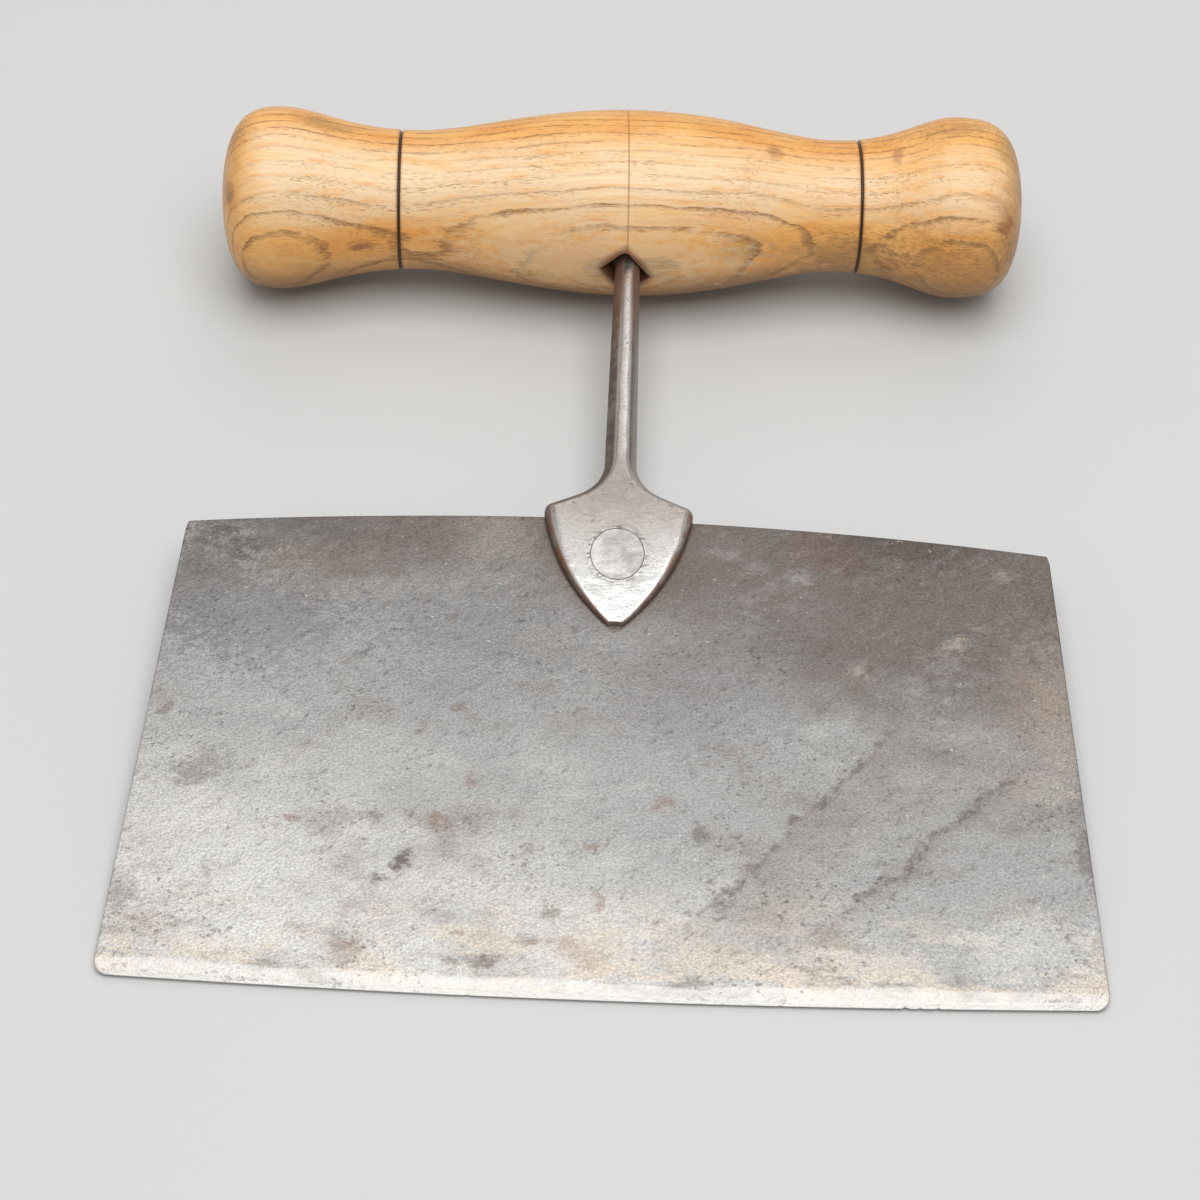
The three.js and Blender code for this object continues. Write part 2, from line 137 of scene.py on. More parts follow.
class ShankSizes(bpy.types.PropertyGroup):
    palm_width: length("Palm width", "Width over the shoulders", 25.8)
    palm_lap: length("Palm lap", "How far the tip reaches down the blade", 22.2)
    tip_width: length("Tip width", "Width of the palm's blunt tip", 3.0)
    point_run: length("Point run", "Straight run of the point before its sides swell", 9.3)
    shoulder_rise: length("Shoulder rise", "Shoulder corners above the blade's back", 1.9)
    shoulder_fall: angle("Shoulder fall", "Slope of the shoulders", 25.5)
    shoulder_round: length("Shoulder round", "Rounding of the shoulder corners", 1.3)
    flare: length("Flare", "Run of the hollow curve from stem to shoulder", 5.5)
    cheek_at_shoulder: length("Cheek at shoulder", "Steel beside the slot at the top", 1.8)
    cheek_at_tip: length("Cheek at tip", "Steel beside the slot at the tip", 0.7)
    palm_bevel: length("Palm bevel", "Width of the bevel at the shoulders", 1.3)
    palm_drop: length("Palm drop", "Depth of the bevel at the shoulders", 1.0)
    tip_bevel: length("Tip bevel", "Width of the bevel at the tip", 0.5)
    tip_drop: length("Tip drop", "Depth of the bevel at the tip", 0.35)
    head_width: length("Head width", "Stem's width at the handle", 4.6)
    head_depth: length("Head depth", "Stem's depth at the handle", 5.0)
    foot_width: length("Foot width", "Stem's width above the palm", 5.6)
    foot_depth: length("Foot depth", "Stem's depth above the palm", 5.6)
    fit: length("Fit", "Clearance of the blade's slot and of the rivet hole", 0.12)
    bolster_across: length("Bolster across", "Bolster in the handle's mouth, corner to corner", 8.0)
    bolster_height: length("Bolster height", "Straight height of the bolster", 2.4)
    bolster_flare: length("Bolster flare", "Run from the stem out to the bolster", 2.6)
    tang_diameter: length("Tang diameter", "Round tang through the handle", 4.4)
    peen_diameter: length("Peen diameter", "Hammered end of the tang", 7.4)
    peen_height: length("Peen height", "Height of the hammered end", 1.5)
    hammering: length("Hammering", "Unevenness left by the hammer and the file", 0.05)
    palm_crown: length("Palm crown", "Fullness of the palm's faces between shoulder and tip", 0.3)
    face_aside: position("Face aside", "How far the front face sits out of the middle", 0.14)


class RivetSizes(bpy.types.PropertyGroup):
    drop: length("Drop", "Below the crown of the blade's back", 8.5)
    body: length("Body", "Diameter of the body", 6.2)
    head_width: length("Head width", "Width of the dressed head", 9.1)
    head_length: length("Head length", "Length of the dressed head", 10.3)
    sink: length("Sink", "Depth of the head's cone", 0.7)


class HandleSide(bpy.types.PropertyGroup):
    end: length("End", "Shank to the end of the knob", 75.0)
    crown: length("Crown", "Shank to the thickest place of the knob", 63.7)
    crown_diameter: length("Crown diameter", "Thickest diameter of the knob", 33.6)
    waist: length("Waist", "Shank to the thinnest place", 39.0)
    waist_diameter: length("Waist diameter", "Thinnest diameter", 24.9)
    ring: length("Ring", "Shank to the burnt ring", 42.8)
    swell_leave: share("Swell leave", "How far the curve stays full beside the swell", 0.44)
    swell_arrive: share("Swell arrive", "How far the curve runs level into the waist", 0.26)
    end_leave: share("End leave", "How far the knob stays full beyond its crown", 0.57)
    end_arrive: share("End arrive", "Share of the knob's radius that its blunt end takes", 0.85)


class HandleSizes(bpy.types.PropertyGroup):
    swell: length("Swell", "Diameter of the middle swell", 34.6)
    left: PointerProperty(type=HandleSide)
    right: PointerProperty(type=HandleSide)
    skew: angle("Skew", "How far the handle sits out of square on the shank", 1.87)
    neck_leave: share("Neck leave", "How far the waist runs level towards the knob", 0.53)
    neck_arrive: share("Neck arrive", "How far the curve runs level into the knob's crown", 0.28)
    ring_width: length("Ring width", "Width of a burnt ring", 0.7)
    ring_depth: length("Ring depth", "Depth of a burnt ring", 0.4)
    line_place: position("Line place", "Shank to the fine line scribed round the swell", -0.7)
    line_width: length("Line width", "Width of the scribed line", 0.3)
    line_depth: length("Line depth", "Depth of the scribed line", 0.1)
    mouth_width: length("Mouth width", "Diamond mouth, corner to corner along the handle", 9.4)
    mouth_height: length("Mouth height", "Diamond mouth, corner to corner across the handle", 11.2)
    mouth_aside: position("Mouth aside", "How far the mouth sits out of the middle", -0.4)
    mouth_twist: length("Mouth twist", "How far the side corners sit out of line", 1.1)
    mouth_depth: length("Mouth depth", "Depth of the mouth below the swell", 7.0)
    mouth_round: length("Mouth round", "Wear of the mouth's upper and lower corners", 2.0)
    fit: length("Fit", "Clearance of the tang and the rove", 0.25)
    seat_gap: length("Seat gap", "Gap between faces that rest on each other", 0.2)
    wobble: length("Wobble", "Unevenness of the worn turning", 0.16)


class RoveSizes(bpy.types.PropertyGroup):
    diameter: length("Diameter", "Outside diameter", 12.4)
    thickness: length("Thickness", "Thickness", 1.3)
    chamfer: length("Chamfer", "Worn rim", 0.4)


class SteelColours(bpy.types.PropertyGroup):
    # bright also paints glints on the blade, arris highlights and the palm's reflection
    bright: colour("Bright", "Freshly worn steel", 0.74, 0.73, 0.71)
    # pale and patina also paint the blade's reflection: bright near the edge, dark towards the back
    pale: colour("Pale", "Pale steel near the edge", 0.67, 0.65, 0.625)
    # grey also paints the reflection on the shank's right-hand bevels
    grey: colour("Grey", "Dull used steel", 0.42, 0.41, 0.40)
    patina: colour("Patina", "Dark patina along the back", 0.205, 0.178, 0.163)
    slate: colour("Slate", "Cooler patina", 0.27, 0.268, 0.27)
    brown: colour("Brown", "Brownish worn steel", 0.40, 0.35, 0.31)
    tan: colour("Tan", "Thin tan staining", 0.74, 0.64, 0.53)
    stain: colour("Stain", "Brown stains", 0.21, 0.168, 0.14)
    rust: colour("Rust", "Rust in the crevices", 0.22, 0.09, 0.04)
    # soot also paints the crevice shade where the palm meets the blade
    soot: colour("Soot", "Brown-black forge scale", 0.11, 0.09, 0.08)


class WoodColours(bpy.types.PropertyGroup):
    # the pale colour also serves as painted highlight on the handle's upper front
    pale: colour("Pale", "Worn pale wood", 0.93, 0.705, 0.445)
    honey: colour("Honey", "Main colour", 0.95, 0.52, 0.16)
    amber: colour("Amber", "Deep colour at the end of each year's growth", 0.86, 0.37, 0.08)
    # the shade colour serves as painted shade on the side turned from the lamp, and as browner fibres
    shade: colour("Shade", "Browner wood on the side that is held less", 0.52, 0.27, 0.10)
    pore: colour("Pore", "Dirt in the open pores", 0.32, 0.125, 0.03)
    # the dirt colour also serves as painted shade on the handle's underside and low front
    dirt: colour("Dirt", "Grime of handling", 0.27, 0.135, 0.045)
    red: colour("Red", "Reddish spots", 0.36, 0.13, 0.045)
    singe: colour("Singe", "Dark stain in and round the mouth", 0.19, 0.066, 0.03)
    burn: colour("Burn", "Burnt rings", 0.055, 0.026, 0.014)


class StageSettings(bpy.types.PropertyGroup):
    floor: colour("Floor", "Pale grey table", 0.635, 0.635, 0.628)
    eye: FloatVectorProperty(
        name="Eye",
        description="Place of the camera",
        default=(-0.00297, -0.337694, 0.390822),
        size=3,
        subtype="TRANSLATION",
    )
    turn: FloatVectorProperty(
        name="Turn",
        description="Turn of the camera",
        default=tuple(math.radians(degrees) for degrees in (39.947, -1.493, 1.728)),
        size=3,
        subtype="EULER",
    )
    lens: FloatProperty(
        name="Lens", description="Focal length", default=87.78, min=1, unit="CAMERA"
    )
    key: FloatProperty(
        name="Key", description="Power of the overhead lamp", default=10.3, min=0, unit="POWER"
    )
    rear: FloatProperty(
        name="Rear", description="Power of the lamp behind", default=2.0, min=0, unit="POWER"
    )
    sky: FloatProperty(
        name="Sky", description="Strength of the room's light", default=0.38, min=0
    )


class ChopperSettings(bpy.types.PropertyGroup):
    blade: PointerProperty(type=BladeSizes)
    shank: PointerProperty(type=ShankSizes)
    rivet: PointerProperty(type=RivetSizes)
    handle: PointerProperty(type=HandleSizes)
    rove: PointerProperty(type=RoveSizes)
    steel: PointerProperty(type=SteelColours)
    wood: PointerProperty(type=WoodColours)
    stage: PointerProperty(type=StageSettings)


def settings():
    """The chopper's settings in this scene."""
    return bpy.context.scene.chopper


# Places shared by the pieces


def rove_seat():
    """Height of the flat seat for the rove, cut where the swell is as wide as the rove."""
    handle = settings().handle
    radius = settings().rove.diameter / 2 + handle.fit
    return math.sqrt((handle.swell / 2) ** 2 - radius**2)


def rove_foot():
    """Height of the rove's underside."""
    return rove_seat() + settings().handle.seat_gap


def resting_tilt():
    """Angle at which the handle's swell and the rear of the ground edge both touch the table."""
    blade = settings().blade
    reach = blade.reach + blade.depth - blade.bevel
    behind = blade.thickness / 2
    swell = settings().handle.swell / 2
    return math.asin(swell / math.hypot(reach, behind)) - math.atan2(behind, reach)


def chopper_frame():
    """The chopper's own frame, set on the table where the model's rove lies."""
    turn = Matrix.Rotation(resting_tilt(), 4, "X")
    low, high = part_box("rove")
    own = Vector((0, rove_foot() + settings().rove.thickness / 2, 0))
    return Matrix.Translation((low + high) / 2 - turn @ own) @ turn


def handle_frame():
    """The handle's frame: its axis is x, a little out of square with the shank."""
    return chopper_frame() @ Matrix.Rotation(settings().handle.skew, 4, "Z")


# Curves and meshes

SAME_PLACE = 1e-7  # metres within which two points count as one
NO_LENGTH = 1e-9  # metres that stand in for a way of no length


def radius_of_arch(width, rise):
    """Radius of the circle that rises by `rise` over a chord of `width`."""
    return width * width / (8 * rise) + rise / 2


def quadratic(start, pull, end, steps):
    """Points of the curve from start to end that leaves and arrives towards pull."""
    leave = start.lerp(pull, 2 / 3)
    arrive = end.lerp(pull, 2 / 3)
    return interpolate_bezier(start, leave, arrive, end, steps + 1)


def towards(start, end, distance):
    """The point `distance` from start on the way to end, at most half of the way."""
    way = end - start
    return start + way * min(distance / max(way.length, NO_LENGTH), 0.5)


def between(value, low, high, at_low, at_high):
    """Runs straight from at_low to at_high while the value goes from low to high."""
    return at_low + (at_high - at_low) * (value - low) / (high - low)


def new_object(name, mesh):
    """An object in the scene for a mesh."""
    piece = bpy.data.objects.new(name, mesh)
    bpy.context.scene.collection.objects.link(piece)
    return piece


def mesh_from(name, corners, faces):
    """A closed mesh with merged doubles and outward faces."""
    mesh = bpy.data.meshes.new(name)
    shape = bmesh.new()
    points = [shape.verts.new(corner) for corner in corners]
    for face in faces:
        shape.faces.new([points[index] for index in face])
    bmesh.ops.remove_doubles(shape, verts=shape.verts, dist=SAME_PLACE)
    bmesh.ops.recalc_face_normals(shape, faces=shape.faces)
    shape.to_mesh(mesh)
    shape.free()
    return mesh


def loft(name, rings):
    """A closed mesh over rings of as many points each, with a face at either end."""
    sides = len(rings[0])
    corners = [corner for ring in rings for corner in ring]
    faces = []
    for start in range(0, len(corners) - sides, sides):
        for side in range(sides):
            a = start + side
            b = start + (side + 1) % sides
            faces.append((a, b, b + sides, a + sides))
    faces.append(tuple(range(sides)))
    faces.append(tuple(range(len(corners) - sides, len(corners))))
    return mesh_from(name, corners, faces)


def turned_rings(profile, sides):
    """Rings round y for a profile of (radius, y) points."""
    rings = []
    for radius, height in profile:
        turns = [2 * math.pi * side / sides for side in range(sides)]
        rings.append([Vector((radius * math.cos(a), height, radius * math.sin(a))) for a in turns])
    return rings


def combine(piece, other_mesh, operation):
    """Joins another closed mesh to a piece, or cuts it away."""
    other = new_object("cutter", other_mesh)
    modifier = piece.modifiers.new("combine", "BOOLEAN")
    modifier.operation = operation
    modifier.solver = "EXACT"
    modifier.object = other
    bake_modifiers(piece)
    bpy.data.objects.remove(other)
    bpy.data.meshes.remove(other_mesh)


def bake_modifiers(piece):
    """Turns what a piece's modifiers make into its plain mesh."""
    depsgraph = bpy.context.evaluated_depsgraph_get()
    mesh = bpy.data.meshes.new_from_object(piece.evaluated_get(depsgraph))
    before = piece.data
    piece.modifiers.clear()
    piece.data = mesh
    bpy.data.meshes.remove(before)


def dress(piece, material, own_frame, node):
    """Lays a finished piece on the table, gives it its material and puts it in the frame."""
    mesh = piece.data
    mesh.transform(own_frame)
    mesh.materials.clear()
    mesh.materials.append(material)
    mesh.shade_smooth()
    mesh.set_sharp_from_angle(angle=SHARP_ANGLE)
    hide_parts(node)
    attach(piece, BODY)


def uneven(place, size, depth):
    """A smooth unevenness of the given depth over features of the given size."""
    return depth * noise.noise(place / size)


# Blade

ARRIS_STEPS = 4
BLADE_COLUMNS = 380
BLADE_ROWS = 70
BEVEL_ROWS = 10
BOW_SIZE = 34 * MM
NICK_REACH = 1.2 * MM
CORNER_PASSES = 4  # rounds that settle where a row meets the rounded outline
# place along the edge, width and depth of the nicks in the cutting edge, in millimetres
NICKS = ((47.5, 0.9, 0.28), (49.8, 0.6, 0.16), (52.6, 0.7, 0.2), (-21.0, 1.1, 0.1), (28.0, 0.8, 0.12))


def back_line(x):
    """Height of the arched back at x."""
    blade = settings().blade
    radius = radius_of_arch(blade.back_width, blade.back_rise)
    return -blade.reach - radius + math.sqrt(radius**2 - (x - blade.back_crown) ** 2)


def edge_line(x):
    """Height of the bellied cutting edge at x."""
    blade = settings().blade
    radius = radius_of_arch(blade.edge_width, blade.edge_belly)
    below = math.sqrt(radius**2 - (x - blade.edge_lowest) ** 2)
    return -blade.reach - blade.depth + radius - below


def corner_cut(rounding, distance):
    """How much a rounded corner takes off, at a distance from the line that it runs into."""
    if distance >= rounding:
        return 0
    return rounding - math.sqrt(rounding**2 - (rounding - distance) ** 2)


def nick_depth(x):
    """How deep the cutting edge is nicked at x."""
    depth = 0
    for place, width, deep in NICKS:
        away = abs(x - place * MM) / (width * MM / 2)
        if away < 1:
            depth = max(depth, deep * MM * (1 - away**2))
    return depth


def row_height(row, x):
    """Height at x of a row, given as its share of the way to the edge and its offset."""
    way, offset = row
    return back_line(x) * (1 - way) + edge_line(x) * way + offset


def row_end(row, side):
    """Where a row ends on the left (side -1) or on the right (side 1), with the corners rounded."""
    blade = settings().blade
    back = blade.back_width / 2
    edge = blade.edge_width / 2
    half = back
    for _ in range(CORNER_PASSES):
        x = side * half
        y = row_height(row, x)
        low = edge_line(side * edge)
        way = (y - low) / (back_line(side * back) - low)
        half = edge + (back - edge) * way
        half -= corner_cut(blade.edge_corner, max(y - edge_line(x), 0))
        half -= corner_cut(blade.back_corner, max(back_line(x) - y, 0))
    return side * half


def blade_rows():
    """Rows from back to edge, close together over the worn arris and the bevel."""
    blade = settings().blade
    arris = [blade.softening * i / ARRIS_STEPS for i in range(ARRIS_STEPS + 1)]
    rows = [(0, -step) for step in arris]
    span = blade.edge_corner + blade.softening
    for i in range(1, BLADE_ROWS):
        way = i / BLADE_ROWS
        rows.append((way, way * blade.edge_corner - (1 - way) * blade.softening))
    below = [span * (1 - i / BEVEL_ROWS) for i in range(BEVEL_ROWS + 1)]
    rows += [(1, max(step - blade.softening, 0)) for step in below[:-1]]
    over_edge = [offset for way, offset in rows if way == 1]
    heights = sorted({blade.hone, blade.grind, *over_edge}, reverse=True)
    return [row for row in rows if row[0] < 1] + [(1, height) for height in heights]


def blade_columns(left, right):
    """Places across a row, close together over the worn arris at each side."""
    softening = settings().blade.softening
    arris = [softening * i / ARRIS_STEPS for i in range(ARRIS_STEPS)]
    inner = right - left - 2 * softening
    middle = [left + softening + inner * i / BLADE_COLUMNS for i in range(BLADE_COLUMNS + 1)]
    return [left + step for step in arris] + middle + [right - step for step in arris[::-1]]


def blade_half_thickness(x, y, to_side):
    """Half the plate's thickness: ground and honed at the edge, with softened arrises elsewhere."""
    blade = settings().blade
    full = blade.thickness / 2
    height = max(y - edge_line(x), 0)
    if height < blade.hone:
        full = between(height, 0, blade.hone, blade.land / 2, blade.hone_thickness / 2)
    elif height < blade.grind:
        full = between(height, blade.hone, blade.grind, blade.hone_thickness / 2, full)
    worn = corner_cut(blade.softening, max(back_line(x) - y, 0))
    worn = max(worn, corner_cut(blade.softening, max(to_side, 0)))
    return max(full - worn, blade.land / 2)


def blade_mesh():
    """The plate, with its ground edge, its nicks and its slight waviness."""
    blade = settings().blade
    front, rear = [], []
    for row in blade_rows():
        left = row_end(row, -1)
        right = row_end(row, 1)
        front_row, rear_row = [], []
        for x in blade_columns(left, right):
            y = row_height(row, x)
            depth = blade_half_thickness(x, y, min(x - left, right - x))
            above = y - edge_line(x)
            y += nick_depth(x) * max(1 - above / NICK_REACH, 0)
            bow = uneven(Vector((x, y, 0)), BOW_SIZE, blade.bow)
            front_row.append(Vector((x, y, bow + depth)))
            rear_row.append(Vector((x, y, bow - depth)))
        front.append(front_row)
        rear.append(rear_row)
    return sheet_mesh("blade", front, rear)


def sheet_mesh(name, front, rear):
    """A plate of two grids of points, closed round its outline."""
    rows, columns = len(front), len(front[0])
    corners = [point for row in front + rear for point in row]
    behind = rows * columns
    faces = []
    for i in range(rows - 1):
        for j in range(columns - 1):
            a = i * columns + j
            faces.append((a, a + columns, a + columns + 1, a + 1))
            faces.append((a + behind, a + behind + 1, a + behind + columns + 1, a + behind + columns))
    outline = list(range(columns))
    outline += [i * columns + columns - 1 for i in range(1, rows)]
    outline += [(rows - 1) * columns + j for j in range(columns - 2, -1, -1)]
    outline += [i * columns for i in range(rows - 2, 0, -1)]
    for a, b in zip(outline, outline[1:] + outline[:1]):
        faces.append((a, b, b + behind, a + behind))
    return mesh_from(name, corners, faces)


# Shank

OUTLINE_STEPS = 26
SHOULDER_STEPS = 6
STEM_STEPS = 40
CORNER_STEPS = 4
SIDE_CUTS = (5, 3, 5, 22)  # bevel, side, bevel and face between the rounded corners
OCTAGON = 2 - math.sqrt(2)  # share of the half width that a regular octagon's corners take
PALM_ROUND = 0.75 * MM
HEAD_ROUND = 1.1 * MM
BOLSTER_ROUND = 0.3 * MM
NOSE_STEPS = 5
NOSE_REACH = 0.35 * MM
HAMMER_SIZE = 3.2 * MM
BOLSTER_FLAT = 0.14  # share of the bolster's half width left flat at its corners
PEEN_LIP = 0.2 * MM
PEEN_DINT = 0.16 * MM
PEEN_DINT_SIZE = 1.9 * MM
DOME_STEPS = 14
DOME_TOP = 0.05 * MM  # radius of the hammered end's last ring
DOME_RISE = 0.7  # share of the hammered end's height over which its rim goes straight up
SLOT_BEYOND = 5 * MM  # how far the cutter of the slot reaches past the palm's tip
ROUND_SIDES = 64


def shank_heights():
    """Heights of the palm's tip, its shoulders, the stem's foot and the stem's head."""
    shank = settings().shank
    back = -settings().blade.reach
    shoulder = back + shank.shoulder_rise
    slope = math.tan(shank.shoulder_fall)
    crotch = shoulder + slope * (shank.palm_width - shank.foot_width) / 2
    return {
        "tip": back - shank.palm_lap,
        "shoulder": shoulder,
        "crotch": crotch,
        "foot": crotch + shank.flare,
        "head": bolster_foot() - shank.bolster_flare,
    }


def mouth_floor():
    """Height of the floor of the handle's mouth."""
    handle = settings().handle
    return -handle.swell / 2 + handle.mouth_depth


def bolster_top():
    """Height of the bolster's upper face."""
    return mouth_floor() - settings().handle.seat_gap


def bolster_foot():
    """Height where the bolster starts."""
    return bolster_top() - settings().shank.bolster_height


def shank_outline():
    """Right-hand half of the front view, from the palm's tip up to the stem's head."""
    shank = settings().shank
    at = shank_heights()
    fall = shank.shoulder_fall
    outward = Vector((math.cos(fall), -math.sin(fall), 0))
    corner = Vector((shank.palm_width / 2, at["shoulder"], 0))
    crotch = Vector((shank.foot_width / 2, at["crotch"], 0))
    tip = Vector((shank.tip_width / 2, at["tip"], 0))
    side_top = corner - Vector((0, shank.shoulder_round, 0))
    shoulder_out = corner - outward * shank.shoulder_round
    shoulder_in = crotch + outward * shank.flare
    foot = Vector((shank.foot_width / 2, at["foot"], 0))
    head = Vector((shank.head_width / 2, at["head"], 0))
    point_pull = tip + Vector((shank.point_run, shank.point_run, 0))

    points = quadratic(tip, point_pull, side_top, OUTLINE_STEPS)
    points += quadratic(side_top, corner, shoulder_out, OUTLINE_STEPS // 2)[1:]
    slope_middle = shoulder_out.lerp(shoulder_in, 0.5)
    points += quadratic(shoulder_out, slope_middle, shoulder_in, SHOULDER_STEPS)[1:]
    points += quadratic(shoulder_in, crotch, foot, OUTLINE_STEPS)[1:]
    points += [foot.lerp(head, i / STEM_STEPS) for i in range(1, STEM_STEPS + 1)]
    return points


def slot_half():
    """Half the width of the slot that takes the blade."""
    return settings().blade.thickness / 2 + settings().shank.fit


def shank_half_depth(y):
    """Half the shank's thickness at height y: wedge-shaped palm, then the tapering stem."""
    shank = settings().shank
    at = shank_heights()
    shoulder = slot_half() + shank.cheek_at_shoulder
    if y < at["shoulder"]:
        up = between(y, at["tip"], at["shoulder"], 0, 1)
        fullness = 4 * shank.palm_crown * up * (1 - up)
        return between(up, 0, 1, slot_half() + shank.cheek_at_tip, shoulder) + fullness
    if y < at["foot"]:
        return between(y, at["shoulder"], at["foot"], shoulder, shank.foot_depth / 2)
    return between(y, at["foot"], at["head"], shank.foot_depth / 2, shank.head_depth / 2)


def shank_bevel(y, half):
    """Width and drop of the bevel at height y, where the outline's half width is `half`."""
    shank = settings().shank
    at = shank_heights()
    if y >= at["foot"]:
        return half * OCTAGON, shank_half_depth(y) * OCTAGON
    if y < at["shoulder"]:
        low, high = at["tip"], at["shoulder"]
        width = between(y, low, high, shank.tip_bevel, shank.palm_bevel)
        return width, between(y, low, high, shank.tip_drop, shank.palm_drop)
    low, high = at["shoulder"], at["foot"]
    width = between(y, low, high, shank.palm_bevel, shank.foot_width / 2 * OCTAGON)
    return width, between(y, low, high, shank.palm_drop, shank.foot_depth / 2 * OCTAGON)


def eight_corners(face, face_depth, side, side_depth):
    """The corners round the shank: a face edge and a side edge in each quarter."""
    aside = settings().shank.face_aside
    return [
        Vector((face.x + aside, face.y, face_depth)),
        Vector((side.x, side.y, side_depth)),
        Vector((side.x, side.y, -side_depth)),
        Vector((face.x, face.y, -face_depth)),
        Vector((-face.x, face.y, -face_depth)),
        Vector((-side.x, side.y, -side_depth)),
        Vector((-side.x, side.y, side_depth)),
        Vector((-face.x + aside, face.y, face_depth)),
    ]


def rounded_ring(corners, rounding):
    """A closed ring through the corners, each rounded off, with even cuts between them."""
    ring = []
    for i, corner in enumerate(corners):
        after = corners[(i + 1) % len(corners)]
        start = towards(corner, corners[i - 1], rounding)
        end = towards(corner, after, rounding)
        ring += quadratic(start, corner, end, CORNER_STEPS)
        stop = towards(after, corner, rounding)
        cuts = SIDE_CUTS[i % len(SIDE_CUTS)]
        ring += [end.lerp(stop, cut / cuts) for cut in range(1, cuts)]
    return ring


def shank_mesh():
    """The whole forging in one loft: palm, stem, bolster, tang and hammered end."""
    outline = shank_outline()
    at = shank_heights()
    rings = []
    for i, point in enumerate(outline):
        before = outline[max(i - 1, 0)]
        after = outline[min(i + 1, len(outline) - 1)]
        along = (after - before).normalized()
        inward = Vector((-along.y, along.x, 0))
        width, drop = shank_bevel(point.y, point.x)
        face = point + inward * width
        side_depth = shank_half_depth(point.y) - drop
        corners = eight_corners(face, shank_half_depth(face.y), point, side_depth)
        up_stem = min(max((point.y - at["foot"]) / (at["head"] - at["foot"]), 0), 1)
        rounding = PALM_ROUND + (HEAD_ROUND - PALM_ROUND) * up_stem
        rings.append([hammered(corner) for corner in rounded_ring(corners, rounding)])
    rings += bolster_rings()
    return loft("shank", nose_rings(rings[0]) + rings + tang_rings(len(rings[0])))


def nose_rings(first):
    """The worn, rounded end of the palm, from its point up to the first ring."""
    middle = sum(first, Vector()) / len(first)
    rings = []
    for step in range(1, NOSE_STEPS + 1):
        turn = math.pi / 2 * step / (NOSE_STEPS + 1)
        reach = Vector((0, NOSE_REACH * math.cos(turn), 0))
        rings.append([middle.lerp(corner, math.sin(turn)) - reach for corner in first])
    return rings


def hammered(corner):
    """A point moved in or out by the marks of hammer and file."""
    lift = uneven(corner, HAMMER_SIZE, settings().shank.hammering)
    return corner + Vector((0, 0, lift if corner.z > 0 else -lift))


def bolster_rings():
    """The nearly square swelling that bears on the floor of the handle's mouth."""
    half = settings().shank.bolster_across / 2
    inner = BOLSTER_FLAT * half
    rings = []
    for y in (bolster_foot(), bolster_top()):
        corners = eight_corners(Vector((inner, y, 0)), half, Vector((half, y, 0)), inner)
        rings.append(rounded_ring(corners, BOLSTER_ROUND))
    return rings


def tang_rings(sides):
    """The round tang and its hammered end, from the bolster up."""
    shank = settings().shank
    foot = rove_foot() + settings().rove.thickness + settings().handle.seat_gap
    rim = shank.peen_diameter / 2
    tang = shank.tang_diameter / 2
    start = Vector((rim, foot + PEEN_LIP, 0))
    end = Vector((DOME_TOP, foot + shank.peen_height, 0))
    rising = start + Vector((0, DOME_RISE * shank.peen_height, 0))
    level = end + Vector((rim / 2, 0, 0))
    dome = interpolate_bezier(start, rising, level, end, DOME_STEPS)
    profile = [(tang, bolster_top()), (tang, foot), (rim - PEEN_LIP, foot)]
    profile += [(point.x, point.y) for point in dome]
    rings = turned_rings(profile, sides)
    for ring in rings[3:]:
        for corner in ring:
            corner += corner.normalized() * uneven(corner, PEEN_DINT_SIZE, PEEN_DINT)
    # the rings above run the other way round than the shank's, and start on another side
    turn = sides // 4
    return [[ring[(turn - i) % sides] for i in range(sides)] for ring in rings]


def bar_mesh(diameter, low, high, sides):
    """A straight bar along y, with a corner on the x axis."""
    return loft("bar", turned_rings([(diameter / 2, low), (diameter / 2, high)], sides))


def slot_mesh():
    """The saw cut in the palm that takes the blade."""
    shank = settings().shank
    top = -settings().blade.reach + shank.fit
    foot = shank_heights()["tip"] - SLOT_BEYOND
    wide = shank.palm_width
    ring = [(-wide, -slot_half()), (wide, -slot_half()), (wide, slot_half()), (-wide, slot_half())]
    return loft("slot", [[Vector((x, y, z)) for x, z in ring] for y in (foot, top)])


# Rivet

RIVET_SIDES = 96
RIVET_RINGS = 14
HOLE_REACH = 10 * MM  # how far the cutter of the blade's hole reaches to either side
CUTTER_PROUD = 1 * MM  # how far the cutter of the palm's hole stands out of its faces


def rivet_mesh(extra, proud):
    """The rivet, dressed flush with the palm, or enlarged all round as the cutter of its hole."""
    rivet = settings().rivet
    at = -settings().blade.reach - rivet.drop
    stretch = rivet.head_length / rivet.head_width
    neck = rivet.body / 2 + extra
    rim = rivet.head_width / 2 + extra
    cone_foot = slot_half()
    cone_top = slot_half() + rivet.sink

    def ring(radius, depth, long=1.0):
        turns = [2 * math.pi * i / RIVET_SIDES for i in range(RIVET_SIDES)]
        return [
            Vector((radius * math.cos(a), at + radius * long * math.sin(a), depth)) for a in turns
        ]

    def face_ring(radius, side):
        points = []
        for corner in ring(radius, 0, stretch):
            corner.z = side * (shank_half_depth(corner.y) + proud)
            points.append(hammered(corner))
        return points

    front = [face_ring(rim * i / RIVET_RINGS, 1) for i in range(1, RIVET_RINGS + 1)]
    rear = [face_ring(rim * i / RIVET_RINGS, -1) for i in range(RIVET_RINGS, 0, -1)]
    middle = [
        ring(rim, cone_top, stretch),
        ring(neck, cone_foot),
        ring(neck, -cone_foot),
        ring(rim, -cone_top, stretch),
    ]
    return loft("rivet", front + middle + rear)


